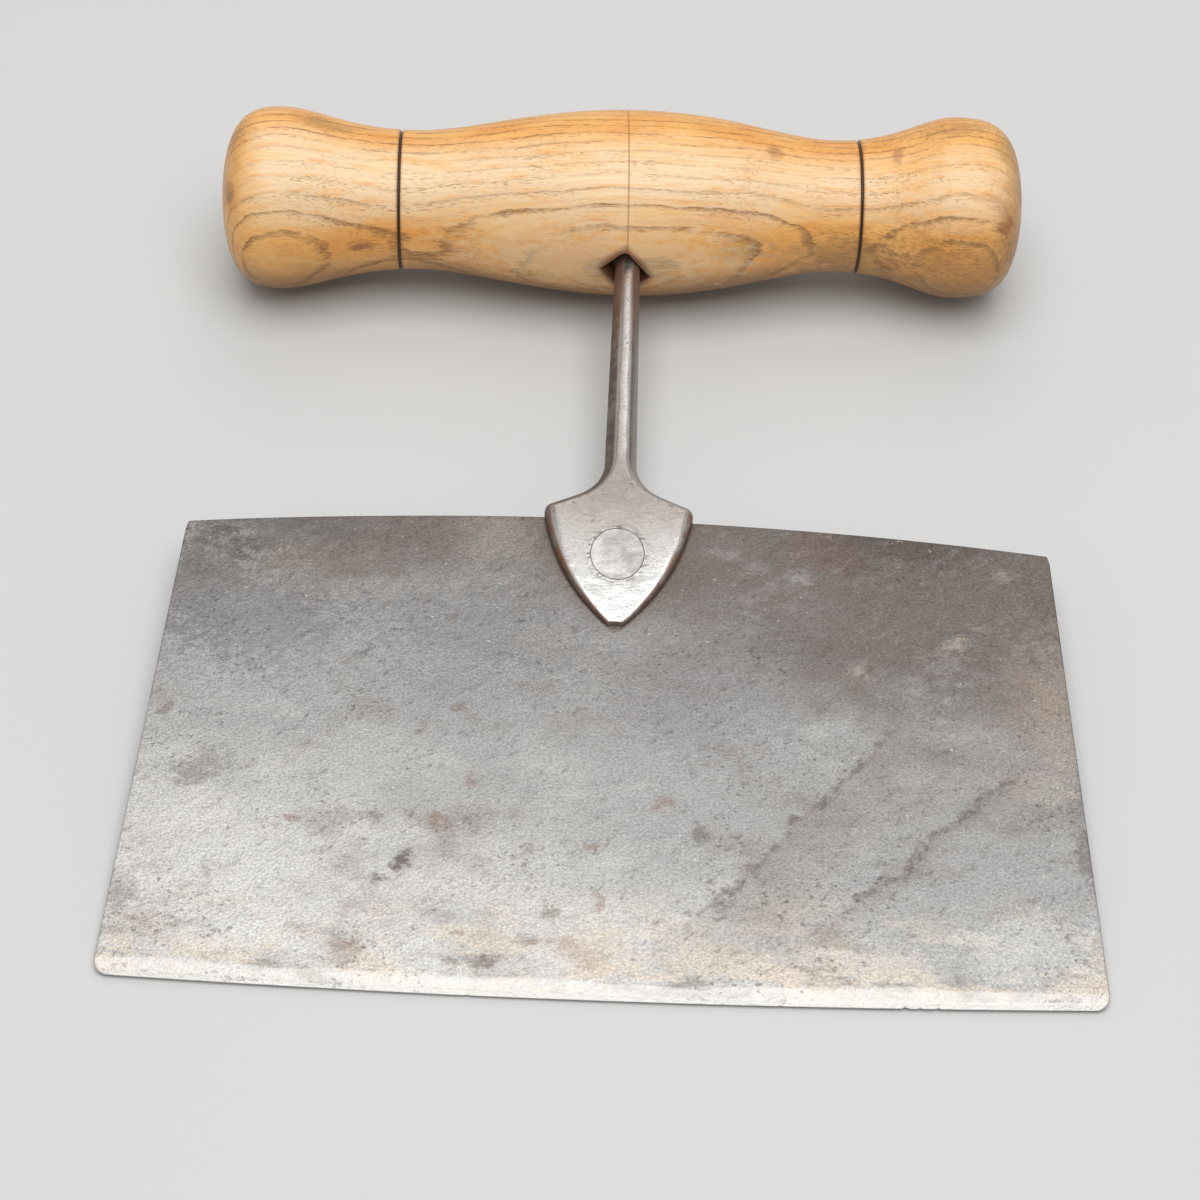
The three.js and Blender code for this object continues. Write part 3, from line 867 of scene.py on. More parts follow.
def rivet_hole_mesh():
    """The round hole through the blade."""
    rivet = settings().rivet
    at = -settings().blade.reach - rivet.drop
    hole = bar_mesh(rivet.body + 2 * settings().shank.fit, -HOLE_REACH, HOLE_REACH, ROUND_SIDES)
    hole.transform(Matrix.Translation((0, at, 0)) @ Matrix.Rotation(math.pi / 2, 4, "X"))
    return hole


# Handle

PROFILE_STEPS = 46
RING_STEPS = 8
RING_SPAN = 1.5  # how far the points of a groove reach, in half widths of it
HANDLE_TURNS = 180
PIN_RADIUS = 1e-7  # metres; radius of the small circle that carries the profile round
AXIS_MERGE = 1e-6  # metres within which the profile's ends close on the axis
WOBBLE_SIZE = 26 * MM
MOUTH_KEEN = 6  # how many times less the mouth's side corners are worn than the others


def handle_side(side):
    """Half the turned profile from swell to end as points of (radius, distance)."""
    handle = settings().handle
    swell = handle.swell / 2
    waist = side.waist_diameter / 2
    crown = side.crown_diameter / 2
    neck = side.crown - side.waist
    end = side.end - side.crown
    curves = (
        ((swell, 0), (swell, side.waist * side.swell_leave),
         (waist, side.waist * (1 - side.swell_arrive)), (waist, side.waist)),
        ((waist, side.waist), (waist, side.waist + neck * handle.neck_leave),
         (crown, side.crown - neck * handle.neck_arrive), (crown, side.crown)),
        ((crown, side.crown), (crown, side.crown + end * side.end_leave),
         (crown * side.end_arrive, side.end), (0, side.end)),
    )
    points = []
    for curve in curves:
        knots = [Vector((radius, place, 0)) for radius, place in curve]
        points += interpolate_bezier(*knots, PROFILE_STEPS + 1)[1:]
    return [Vector((swell, 0, 0))] + points


def radius_at(profile, place):
    """Radius of a profile at a distance from the shank."""
    for low, high in zip(profile, profile[1:]):
        if low.y <= place <= high.y:
            return between(place, low.y, high.y, low.x, high.x)
    raise ValueError("the ring lies outside the handle")


def with_ring(profile, middle, width, full_depth):
    """The profile with a rounded groove turned into it."""
    groove = []
    for i in range(-RING_STEPS, RING_STEPS + 1):
        away = RING_SPAN * i / RING_STEPS
        depth = full_depth * max(1 - away * away, 0)
        distance = middle + away * width / 2
        groove.append(Vector((radius_at(profile, distance) - depth, distance, 0)))
    before = [point for point in profile if point.y < groove[0].y]
    after = [point for point in profile if point.y > groove[-1].y]
    return before + groove + after


def handle_profile():
    """The whole profile from the left end to the right end."""
    handle = settings().handle
    burnt = (handle.ring_width, handle.ring_depth)
    left = with_ring(handle_side(handle.left), handle.left.ring, *burnt)
    right = with_ring(handle_side(handle.right), handle.right.ring, *burnt)
    left = with_ring(left, -handle.line_place, handle.line_width, handle.line_depth)
    return [Vector((point.x, -point.y, 0)) for point in left[:0:-1]] + right


def lathe_tree():
    """Geometry nodes that turn a profile about its y axis, a little unevenly, as hand turning is."""
    tree = bpy.data.node_groups.new("turned on a lathe", "GeometryNodeTree")
    for name, kind in (
        ("Profile", "NodeSocketGeometry"),
        ("Sides", "NodeSocketInt"),
        ("Wobble", "NodeSocketFloat"),
        ("Wobble Size", "NodeSocketFloat"),
        ("Material", "NodeSocketMaterial"),
    ):
        tree.interface.new_socket(name, in_out="INPUT", socket_type=kind)
    tree.interface.new_socket("Piece", in_out="OUTPUT", socket_type="NodeSocketGeometry")

    def node(kind, **values):
        made = tree.nodes.new(kind)
        for key, value in values.items():
            setattr(made, key, value)
        return made

    given = node("NodeGroupInput").outputs
    profile = node("GeometryNodeMeshToCurve")
    circle = node("GeometryNodeCurvePrimitiveCircle")
    sweep = node("GeometryNodeCurveToMesh")
    merge = node("GeometryNodeMergeByDistance")
    place = node("GeometryNodeInputPosition")
    grain = node("ShaderNodeTexNoise")
    centred = node("ShaderNodeMath", operation="SUBTRACT")
    amount = node("ShaderNodeMath", operation="MULTIPLY")
    outward = node("GeometryNodeInputNormal")
    offset = node("ShaderNodeVectorMath", operation="SCALE")
    move = node("GeometryNodeSetPosition")
    realize = node("GeometryNodeRealizeInstances")
    paint = node("GeometryNodeSetMaterial")
    result = node("NodeGroupOutput")

    circle.inputs["Radius"].default_value = PIN_RADIUS
    merge.inputs["Distance"].default_value = AXIS_MERGE
    grain.inputs["Detail"].default_value = 1
    centred.inputs[1].default_value = 0.5
    link = tree.links.new
    link(given["Profile"], profile.inputs["Mesh"])
    link(given["Sides"], circle.inputs["Resolution"])
    link(circle.outputs["Curve"], sweep.inputs["Curve"])
    link(profile.outputs["Curve"], sweep.inputs["Profile Curve"])
    link(sweep.outputs["Mesh"], merge.inputs["Geometry"])
    link(place.outputs["Position"], grain.inputs["Vector"])
    link(given["Wobble Size"], grain.inputs["Scale"])
    link(grain.outputs["Fac"], centred.inputs[0])
    link(centred.outputs[0], amount.inputs[0])
    link(given["Wobble"], amount.inputs[1])
    link(outward.outputs["Normal"], offset.inputs[0])
    link(amount.outputs[0], offset.inputs["Scale"])
    link(merge.outputs["Geometry"], move.inputs["Geometry"])
    link(offset.outputs["Vector"], move.inputs["Offset"])
    link(move.outputs["Geometry"], realize.inputs["Geometry"])
    link(realize.outputs["Geometry"], paint.inputs["Geometry"])
    link(given["Material"], paint.inputs["Material"])
    link(paint.outputs["Geometry"], result.inputs["Piece"])
    return tree


def turned_piece(name, profile, material):
    """A piece turned on the lathe from its profile, with its axis along x."""
    mesh = bpy.data.meshes.new(name)
    steps = [(i, i + 1) for i in range(len(profile) - 1)]
    mesh.from_pydata(profile, steps, [])
    piece = new_object(name, mesh)
    tree = lathe_tree()
    modifier = piece.modifiers.new("lathe", "NODES")
    modifier.node_group = tree
    values = {
        "Sides": HANDLE_TURNS,
        "Wobble": 2 * settings().handle.wobble,
        "Wobble Size": 1 / WOBBLE_SIZE,
        "Material": material,
    }
    for item in tree.interface.items_tree:
        if item.in_out == "INPUT" and item.name in values:
            modifier[item.identifier] = values[item.name]
    bake_modifiers(piece)
    bpy.data.node_groups.remove(tree)
    piece.data.transform(Matrix.Rotation(-math.pi / 2, 4, "Y"))
    shape = bmesh.new()
    shape.from_mesh(piece.data)
    bmesh.ops.recalc_face_normals(shape, faces=shape.faces)
    shape.to_mesh(piece.data)
    shape.free()
    return piece


def mouth_mesh(low):
    """The hand-cut diamond mouth, from below the handle up to its floor."""
    handle = settings().handle
    half = handle.mouth_width / 2
    tall = handle.mouth_height / 2
    aside = handle.mouth_aside
    twist = handle.mouth_twist
    diamond = [(half, -twist), (0, tall), (-half, twist), (0, -tall)]
    corners = [Vector((x + aside, 0, z)) for x, z in diamond]
    ring = []
    for i, corner in enumerate(corners):
        rounding = handle.mouth_round if i % 2 else handle.mouth_round / MOUTH_KEEN
        start = towards(corner, corners[i - 1], rounding)
        end = towards(corner, corners[(i + 1) % len(corners)], rounding)
        ring += quadratic(start, corner, end, CORNER_STEPS)
    levels = (low, mouth_floor())
    return loft("mouth", [[Vector((corner.x, y, corner.z)) for corner in ring] for y in levels])


# Rove

ROVE_ARRIS = 0.1 * MM
ROVE_MOUTH = 0.15 * MM
ROVE_BULGE_IN = 0.3  # where the worn rim bulges, as shares of its chamfer
ROVE_BULGE_DOWN = 0.25
ROVE_DINT = 0.1 * MM
ROVE_DINT_SIZE = 2.4 * MM


def rove_mesh():
    """The washer, with a worn rim and a hammered upper face."""
    rove = settings().rove
    hole = settings().shank.tang_diameter / 2 + settings().shank.fit
    rim = rove.diameter / 2
    foot = rove_foot()
    top = foot + rove.thickness
    section = [
        (hole, foot),
        (rim - ROVE_ARRIS, foot),
        (rim, foot + ROVE_ARRIS),
        (rim, top - rove.chamfer),
        (rim - ROVE_BULGE_IN * rove.chamfer, top - ROVE_BULGE_DOWN * rove.chamfer),
        (rim - rove.chamfer, top),
        (hole + ROVE_MOUTH, top),
        (hole, top - ROVE_MOUTH),
    ]
    rings = turned_rings(section, ROUND_SIDES)
    sides = ROUND_SIDES
    corners = []
    for ring in rings:
        for corner in ring:
            lift = uneven(corner, ROVE_DINT_SIZE, ROVE_DINT)
            above_foot = corner.y > foot + ROVE_ARRIS / 2
            corners.append(corner + Vector((0, lift if above_foot else 0, 0)))
    faces = []
    for i in range(len(rings)):
        low = i * sides
        high = (i + 1) % len(rings) * sides
        for side in range(sides):
            after = (side + 1) % sides
            faces.append((low + side, low + after, high + after, high + side))
    return mesh_from("rove", corners, faces)


# Materials

SIDE_ON = 1e6  # a size so long that the depth of a place counts for nothing
FACES_APART = 60.0  # millimetres in z between the wear of the blade's two faces
SPOT_END = 1.15  # where a spot ends, in its own radii
SPOT_FULL = 0.35  # where a spot has its full strength, in its own radii


class Shading:
    """A material's node tree, with calls that add a node and return its output."""

    def __init__(self, name):
        self.material = bpy.data.materials.new(name)
        self.material.use_nodes = True
        self.nodes = self.material.node_tree.nodes
        self.links = self.material.node_tree.links
        self.surface = self.nodes["Principled BSDF"]

    def feed(self, socket, value):
        """Links a node's output to a socket, or sets the socket to a fixed value."""
        if isinstance(value, bpy.types.NodeSocket):
            self.links.new(value, socket)
        elif socket.type == "RGBA":
            socket.default_value = (*value[:3], 1)
        else:
            socket.default_value = value

    def node(self, kind, values, output=0, **options):
        """Adds a node with its inputs and options, and returns one of its outputs."""
        made = self.nodes.new(kind)
        for name, option in options.items():
            setattr(made, name, option)
        for key, value in values.items():
            self.feed(made.inputs[key], value)
        return made.outputs[output]

    def math(self, operation, first, second=0.0):
        """One step of arithmetic on numbers."""
        return self.node("ShaderNodeMath", {0: first, 1: second}, operation=operation)

    def plus(self, first, second):
        return self.math("ADD", first, second)

    def minus(self, first, second):
        return self.math("SUBTRACT", first, second)

    def over(self, first, second):
        return self.math("DIVIDE", first, second)

    def times(self, first, second):
        return self.math("MULTIPLY", first, second)

    def either(self, first, second):
        """The larger of two numbers."""
        return self.math("MAXIMUM", first, second)

    def vector(self, operation, first, second=(0, 0, 0), output=0):
        """One step of arithmetic on vectors."""
        return self.node("ShaderNodeVectorMath", {0: first, 1: second}, output, operation=operation)

    def size(self, vector):
        """How long a vector is."""
        return self.vector("LENGTH", vector, output="Value")

    def dot(self, first, second):
        """How far one vector goes along another."""
        return self.vector("DOT_PRODUCT", first, second, "Value")

    def fade(self, value, low, high):
        """0 up to low, 1 from high on, and a smooth step between."""
        values = {"Value": value, "From Min": low, "From Max": high}
        return self.node("ShaderNodeMapRange", values, interpolation_type="SMOOTHSTEP")

    def mix(self, amount, first, second):
        """The first colour where the amount is 0, the second where it is 1."""
        return self.node("ShaderNodeMix", {0: amount, 6: first, 7: second}, 2, data_type="RGBA")

    def coat(self, base, colour, cover, strength):
        """The base with another colour laid over it, as far as cover and strength together say."""
        return self.mix(self.times(cover, strength), base, colour)

    def place(self, own_frame):
        """Place on the piece in millimetres of the given frame."""
        to_own = own_frame.inverted()
        where = self.node("ShaderNodeTexCoord", {}, "Object")
        values = {
            "Vector": where,
            "Location": to_own.translation / MM,
            "Rotation": to_own.to_euler(),
            "Scale": (1 / MM, 1 / MM, 1 / MM),
        }
        return self.node("ShaderNodeMapping", values, vector_type="POINT")

    def parts(self, vector):
        """A vector's x, y and z."""
        made = self.nodes.new("ShaderNodeSeparateXYZ")
        self.links.new(vector, made.inputs[0])
        return made.outputs["X"], made.outputs["Y"], made.outputs["Z"]

    def grain(self, place, size, detail=2.0, roughness=0.5, output="Fac"):
        """Noise whose features are as long as `size` says, in millimetres along x, y and z."""
        scaled = self.vector("DIVIDE", place, size)
        values = {"Vector": scaled, "Scale": 1.0, "Detail": detail, "Roughness": roughness}
        return self.node("ShaderNodeTexNoise", values, output)

    def shift(self, place, move):
        """The place moved along, so that a noise there differs from the same noise here."""
        return self.vector("ADD", place, move)

    def signed(self, value, reach):
        """A noise turned to lie as far below as above nothing."""
        return self.times(self.minus(value, 0.5), reach)

    def spot(self, place, centre, size, ragged):
        """A soft-edged spot, its outline broken up by noise."""
        away = self.vector("DIVIDE", self.vector("SUBTRACT", place, centre), size)
        distance = self.plus(self.size(away), ragged)
        return self.fade(distance, SPOT_END, SPOT_FULL)

    def curve(self, value, points):
        """A smooth curve through the points, which lie between 0 and 1."""
        made = self.nodes.new("ShaderNodeFloatCurve")
        self.links.new(value, made.inputs["Value"])
        line = made.mapping.curves[0].points
        for spare in points[2:]:
            line.new(*spare)
        for point, location in zip(line, points):
            point.location = location
        made.mapping.update()
        return made.outputs[0]

    def finish(self, base, roughness, bump, metallic, **fixed):
        """Feeds the surface, and sets what is the same all over on its own sockets."""
        self.feed(self.surface.inputs["Base Color"], base)
        self.feed(self.surface.inputs["Roughness"], roughness)
        self.feed(self.surface.inputs["Metallic"], metallic)
        for name, value in fixed.items():
            self.surface.inputs[name.replace("_", " ")].default_value = value
        self.links.new(bump, self.surface.inputs["Normal"])
        return self.material

    def bump(self, height, millimetres, below=None):
        """Relief whose full height is given in millimetres, laid over another relief."""
        made = self.nodes.new("ShaderNodeBump")
        made.inputs["Strength"].default_value = 1.0
        made.inputs["Distance"].default_value = millimetres * MM
        self.links.new(height, made.inputs["Height"])
        if below is not None:
            self.links.new(below, made.inputs["Normal"])
        return made.outputs["Normal"]


def both_faces(shading, place):
    """The place with the front face moved off in z, to wear unlike the rear, and 1 on the front."""
    _x, _y, z = shading.parts(place)
    front = shading.math("GREATER_THAN", z, 0.0)
    far = shading.node("ShaderNodeCombineXYZ", {"Z": shading.times(front, FACES_APART)})
    return shading.vector("ADD", place, far), front


LEAN = 0.0034  # how much duller the blade is for each millimetre to the right
HONE_LEAN = 0.004  # how much wider the honed strip is for each millimetre to the right
SPECKLE_SLANT = math.radians(38)
# stains on the blade's front: colour, centre in millimetres, radius along x, radius along y, strength
BLADE_STAINS = (
    ("soot", (49.7, -76.5), 18, 7, 0.6),
    ("soot", (-55.0, -79.0), 20, 6, 0.45),
    ("soot", (-70.0, -90.0), 10, 16, 0.5),
    ("stain", (-58.0, -90.0), 15, 8, 0.4),
    ("slate", (-60.0, -98.0), 20, 11, 0.75),
    ("slate", (-22.0, -97.0), 24, 10, 0.55),
    ("stain", (-50.9, -85.0), 14, 4, 0.3),
    ("brown", (-20.0, -79.0), 9, 7, 0.35),
    ("brown", (-12.0, -99.0), 6, 4, 0.35),
    ("slate", (-24.0, -104.0), 22, 14, 0.35),
    ("slate", (16.0, -110.0), 22, 14, 0.4),
    ("stain", (70.0, -98.0), 10, 20, 0.5),
    ("soot", (-66.9, -126.6), 5, 4, 0.4),
    ("soot", (-32.6, -142.2), 2.1, 2.5, 0.8),
    ("soot", (-35.5, -146.9), 1.3, 1.5, 0.65),
    ("rust", (-27.5, -134.6), 3.4, 1.7, 0.45),
    ("soot", (-37.5, -135.6), 1.3, 1.8, 0.45),
    ("rust", (-50.6, -135.6), 1.5, 1.2, 0.4),
    ("rust", (-26.4, -112.5), 1.6, 0.9, 0.35),
    ("rust", (-22.4, -126.8), 1.6, 1.4, 0.35),
    ("rust", (9.2, -130.6), 1.6, 1.6, 0.3),
    ("stain", (-74.6, -115.4), 1.6, 1.6, 0.5),
    ("stain", (-64.6, -146.6), 1.3, 2.6, 0.45),
    ("stain", (-29.5, -78.4), 3.0, 2.5, 0.4),
    ("stain", (-37.5, -88.0), 2.0, 2.0, 0.4),
    ("stain", (-27.4, -95.7), 1.8, 1.6, 0.4),
    ("rust", (36.1, -79.0), 9, 5, 0.2),
    ("rust", (-1.9, -138.6), 2.6, 1.1, 0.35),
    ("soot", (15.0, -136.0), 1.9, 2.4, 0.5),
    ("tan", (56.9, -97.0), 3.0, 2.0, 0.3),
    ("tan", (40.8, -102.4), 1.6, 1.2, 0.3),
    ("brown", (73.0, -109.0), 10, 18, 0.5),
    ("rust", (71.3, -110.5), 8, 12, 0.1),
    ("tan", (74.0, -112.0), 5, 12, 0.14),
    ("tan", (70.0, -125.0), 8, 5, 0.18),
    ("soot", (78.0, -137.0), 2.5, 8, 0.45),
    ("soot", (-18.5, -159.5), 3.0, 2.0, 0.55),
    ("rust", (-40.1, -159.0), 4.0, 2.4, 0.3),
    ("rust", (-22.8, -154.7), 1.4, 1.0, 0.4),
    ("stain", (-11.9, -156.5), 1.5, 1.2, 0.45),
    ("stain", (-8.2, -150.9), 1.8, 1.2, 0.5),
    ("rust", (-71.9, -156.4), 6, 3.5, 0.25),
    ("tan", (-3.0, -157.0), 9, 4.0, 0.5),
    ("rust", (-3.0, -158.0), 5, 2.5, 0.25),
    ("rust", (-1.4, -149.3), 1.8, 1.2, 0.35),
    ("brown", (31.0, -152.0), 9, 8, 0.35),
    ("tan", (40.0, -158.0), 11, 3, 0.4),
    ("stain", (36.5, -154.5), 4.5, 3.0, 0.35),
    ("bright", (-55.0, -158.0), 12, 4, 0.6),
    ("bright", (-60.0, -150.0), 18, 9, 0.3),
    ("bright", (-30.0, -160.0), 6, 3, 0.35),
    ("bright", (67.0, -155.0), 15, 7, 0.5),
    ("soot", (-77.0, -151.0), 2.5, 4, 0.35),
)
# tide marks on the blade's front, from their upper to their lower ends, with the width of their shade
BLADE_TIDES = (
    ((48.0, -114.0, 0), (12.0, -155.0, 0), 15.0),
    ((68.0, -121.5, 0), (35.0, -152.0, 0), 4.0),
)


def above_edge(shading, x, y):
    """Height over the bellied cutting edge, in millimetres."""
    blade = settings().blade
    radius = radius_of_arch(blade.edge_width, blade.edge_belly) / MM
    aside = shading.minus(x, blade.edge_lowest / MM)
    sag = shading.over(shading.times(aside, aside), 2 * radius)
    lowest = (blade.reach + blade.depth) / MM
    return shading.minus(shading.plus(y, lowest), sag)


def beside_palm(shading, x, y):
    """Distance outside the palm's outline, in millimetres, along the blade."""
    shank = settings().shank
    at = shank_heights()
    tall = at["shoulder"] - at["tip"]
    half = shank.palm_width / 2
    side = [point for point in shank_outline() if point.y < at["shoulder"] - shank.shoulder_round]
    points = [((point.y - at["tip"]) / tall, point.x / half) for point in side[::5]]
    points = [points[0], (1.0, 1.0)] + points[1:]
    up = shading.over(shading.minus(y, at["tip"] / MM), tall / MM)
    edge = shading.times(shading.curve(up, points), half / MM)
    return shading.minus(shading.math("ABSOLUTE", x), edge), up


def wander(shading, place, size, reach):
    """The place moved about by noise, so that marks drawn on it lose their straight outlines."""
    noise_colour = shading.grain(place, size, 4.0, 0.6, "Color")
    centred = shading.vector("SUBTRACT", noise_colour, (0.5, 0.5, 0.5))
    return shading.vector("ADD", place, shading.vector("MULTIPLY", centred, (reach, reach, 0)))


def tide_marks(shading, place, patchy):
    """Dark lines of dried water, and the shade below each of them."""
    line = shade = 0.0
    for start, end, width in BLADE_TIDES:
        along = Vector(end) - Vector(start)
        below = Vector((-along.y, along.x, 0)).normalized()
        away = shading.vector("SUBTRACT", place, start)
        share_along = shading.dot(away, along / along.length_squared)
        depth = shading.dot(away, below)
        ends = shading.times(shading.fade(share_along, -0.1, 0.15), shading.fade(share_along, 1.15, 0.8))
        edge = shading.fade(shading.math("ABSOLUTE", depth), 1.3, 0.1)
        line = shading.either(line, shading.times(shading.times(edge, ends), patchy))
        fall = shading.times(shading.fade(depth, -1.6, 1.2), shading.fade(depth, width, 0.1 * width))
        shade = shading.either(shade, shading.times(fall, ends))
    return line, shade


def blade_patina_and_reflection(shading, worn, x, above):
    """Colour from the dark back to the pale edge, partly patina and partly painted reflection, with tan
    and dull patches low down, and its drift.
    """
    steel = settings().steel
    drift = shading.grain(worn, (30, 18, 30), 5.0, 0.65)
    rise = shading.over(above, settings().blade.depth / MM)
    rise = shading.plus(rise, shading.signed(drift, 0.7))
    rise = shading.plus(rise, shading.times(x, LEAN))
    # painted reflection along with patina: paler towards the edge, darker towards the back
    base = shading.mix(shading.fade(rise, -0.05, 0.45), steel.pale, steel.grey)
    base = shading.mix(shading.fade(rise, 0.45, 1.0), base, steel.patina)
    mood = shading.grain(shading.shift(worn, (31, 7, 3)), (17, 11, 14), 6.0, 0.68)
    base = shading.coat(base, steel.stain, shading.fade(mood, 0.5, 0.72), 0.45)
    base = shading.coat(base, steel.pale, shading.fade(mood, 0.48, 0.3), 0.3)

    low = shading.fade(above, 22.0, 3.0)
    cream = shading.grain(shading.shift(worn, (11, 3, 5)), (12, 5, 8), 5.0, 0.7)
    cream = shading.fade(cream, 0.46, 0.6)
    base = shading.coat(base, steel.tan, shading.times(low, cream), 0.75)
    dull = shading.grain(shading.shift(worn, (2, 14, 6)), (9, 4, 6), 5.0, 0.7)
    dull = shading.fade(dull, 0.52, 0.66)
    base = shading.coat(base, steel.stain, shading.times(low, dull), 0.55)
    return base, drift


def blade_marks(shading, base, place, worn, front):
    """The base with stains and tide marks, and the two noises that make them ragged and patchy."""
    steel = settings().steel
    astray = wander(shading, place, (9, 9, 9), 9.0)
    ragged = shading.signed(shading.grain(worn, (1.6, 1.2, 1.4), 5.0, 0.75), 2.6)
    for name, centre, wide, tall, strength in BLADE_STAINS:
        stain = shading.spot(astray, (*centre, 0), (wide, tall, SIDE_ON), ragged)
        base = shading.coat(base, getattr(steel, name), shading.times(stain, front), strength)
    patchy = shading.fade(shading.grain(worn, (2.5, 2.0, 2.2), 4.0, 0.7), 0.38, 0.6)
    line, shade = tide_marks(shading, wander(shading, astray, (1.5, 1.5, 1.5), 1.6), patchy)
    base = shading.coat(base, steel.stain, shading.times(shade, front), 0.32)
    base = shading.coat(base, steel.soot, shading.times(line, front), 0.55)
    return base, ragged, patchy


def palm_grime_and_shade(shading, base, x, y, ragged, patchy):
    """The base with the dirt and the rust that gather on the blade round the palm, and painted shade
    along and round its outline.
    """
    steel = settings().steel
    beside, up = beside_palm(shading, x, y)
    inside = shading.fade(up, -0.1, 0.04)
    near = shading.plus(beside, shading.times(ragged, 1.2))
    # halo round the palm: partly dirt, partly painted shade
    halo = shading.times(shading.fade(near, 5.0, 0.0), inside)
    base = shading.coat(base, steel.stain, halo, 0.4)
    rusty = shading.times(shading.times(shading.fade(near, 1.0, 0.0), inside), patchy)
    base = shading.coat(base, steel.rust, rusty, 0.6)
    # painted shade: a dark line where the palm meets the blade
    crevice_shade = shading.times(shading.fade(beside, 0.5, 0.1), inside)
    base = shading.coat(base, steel.soot, crevice_shade, 0.8)
    return base


def ground_edge(shading, base, x, above, drift):
    """The base with the paler ground strip and the brighter honed strip along the edge."""
    steel = settings().steel
    blade = settings().blade
    aged = shading.plus(above, shading.signed(drift, 4.0))
    ground = shading.fade(aged, blade.grind / MM + 0.5, blade.grind / MM)
    base = shading.coat(base, steel.pale, ground, 0.5)
    strip = shading.minus(above, shading.times(x, HONE_LEAN))
    honed = shading.fade(strip, blade.hone / MM + 0.15, blade.hone / MM - 0.15)
    base = shading.coat(base, steel.pale, honed, 0.7)
    return base


def blade_steel():
    """Old carbon steel: dark along the back and pale towards the edge, partly patina and wear and partly
    painted reflection; stained and pitted.
    """
    steel = settings().steel
    shading = Shading("blade steel")
    place = shading.place(chopper_frame())
    x, y, _z = shading.parts(place)
    worn, front = both_faces(shading, place)
    above = above_edge(shading, x, y)
    base, drift = blade_patina_and_reflection(shading, worn, x, above)
    base, ragged, patchy = blade_marks(shading, base, place, worn, front)

    slanted = shading.node(
        "ShaderNodeVectorRotate", {"Vector": worn, "Angle": -SPECKLE_SLANT}, rotation_type="Z_AXIS"
    )
    speckle = shading.grain(slanted, (3.4, 1.6, 2.0), 5.0, 0.75)
    base = shading.coat(base, steel.soot, shading.fade(speckle, 0.55, 0.72), 0.55)
    base = shading.coat(base, steel.pale, shading.fade(speckle, 0.46, 0.28), 0.15)
    pits = shading.grain(shading.shift(worn, (5, 9, 2)), (1.2, 0.9, 1.1), 4.0, 0.65)
    sparse = shading.grain(shading.shift(worn, (9, 2, 4)), (14, 11, 12), 3.0, 0.6)
    sparse = shading.fade(sparse, 0.42, 0.62)
    pitted = shading.times(shading.fade(pits, 0.58, 0.7), sparse)
    base = shading.coat(base, steel.soot, pitted, 0.5)
    glint = shading.grain(shading.shift(worn, (3, 8, 7)), (1.3, 1.0, 1.2), 3.0, 0.6)
    base = shading.coat(base, steel.bright, shading.fade(glint, 0.68, 0.75), 0.55)

    base = palm_grime_and_shade(shading, base, x, y, ragged, patchy)
    fine = shading.grain(worn, (0.5, 0.42, 0.45), 3.0, 0.8)
    lines = shading.grain(worn, (7.0, 0.5, 0.6), 2.0, 0.6)
    base = shading.mix(shading.fade(fine, 0.35, 0.65), shading.mix(0.35, base, (0, 0, 0)), base)

    base = ground_edge(shading, base, x, above, drift)
    roughness = shading.plus(0.38, shading.times(fine, 0.2))
    relief = shading.bump(fine, 0.09)
    relief = shading.bump(lines, 0.015, relief)
    relief = shading.bump(shading.minus(1.0, pitted), 0.05, relief)
    relief = shading.bump(speckle, 0.12, relief)
    return shading.finish(base, roughness, relief, 0.8)


def rivet_cracks(shading, base, place):
    """The base with dark cracks round the rivet's head."""
    rivet = settings().rivet
    centre = (0, -(settings().blade.reach + rivet.drop) / MM, 0)
    head = (rivet.head_width / 2 / MM, rivet.head_length / 2 / MM, SIDE_ON)
    away = shading.vector("DIVIDE", shading.vector("SUBTRACT", place, centre), head)
    away = shading.size(away)
    crack = shading.grain(shading.shift(place, (4, 1, 6)), (1.6, 0.6, 0.8), 4.0, 0.65)
    cracked = shading.times(shading.fade(away, 1.35, 1.02), shading.fade(crack, 0.47, 0.6))
    return shading.coat(base, settings().steel.soot, cracked, 0.7)


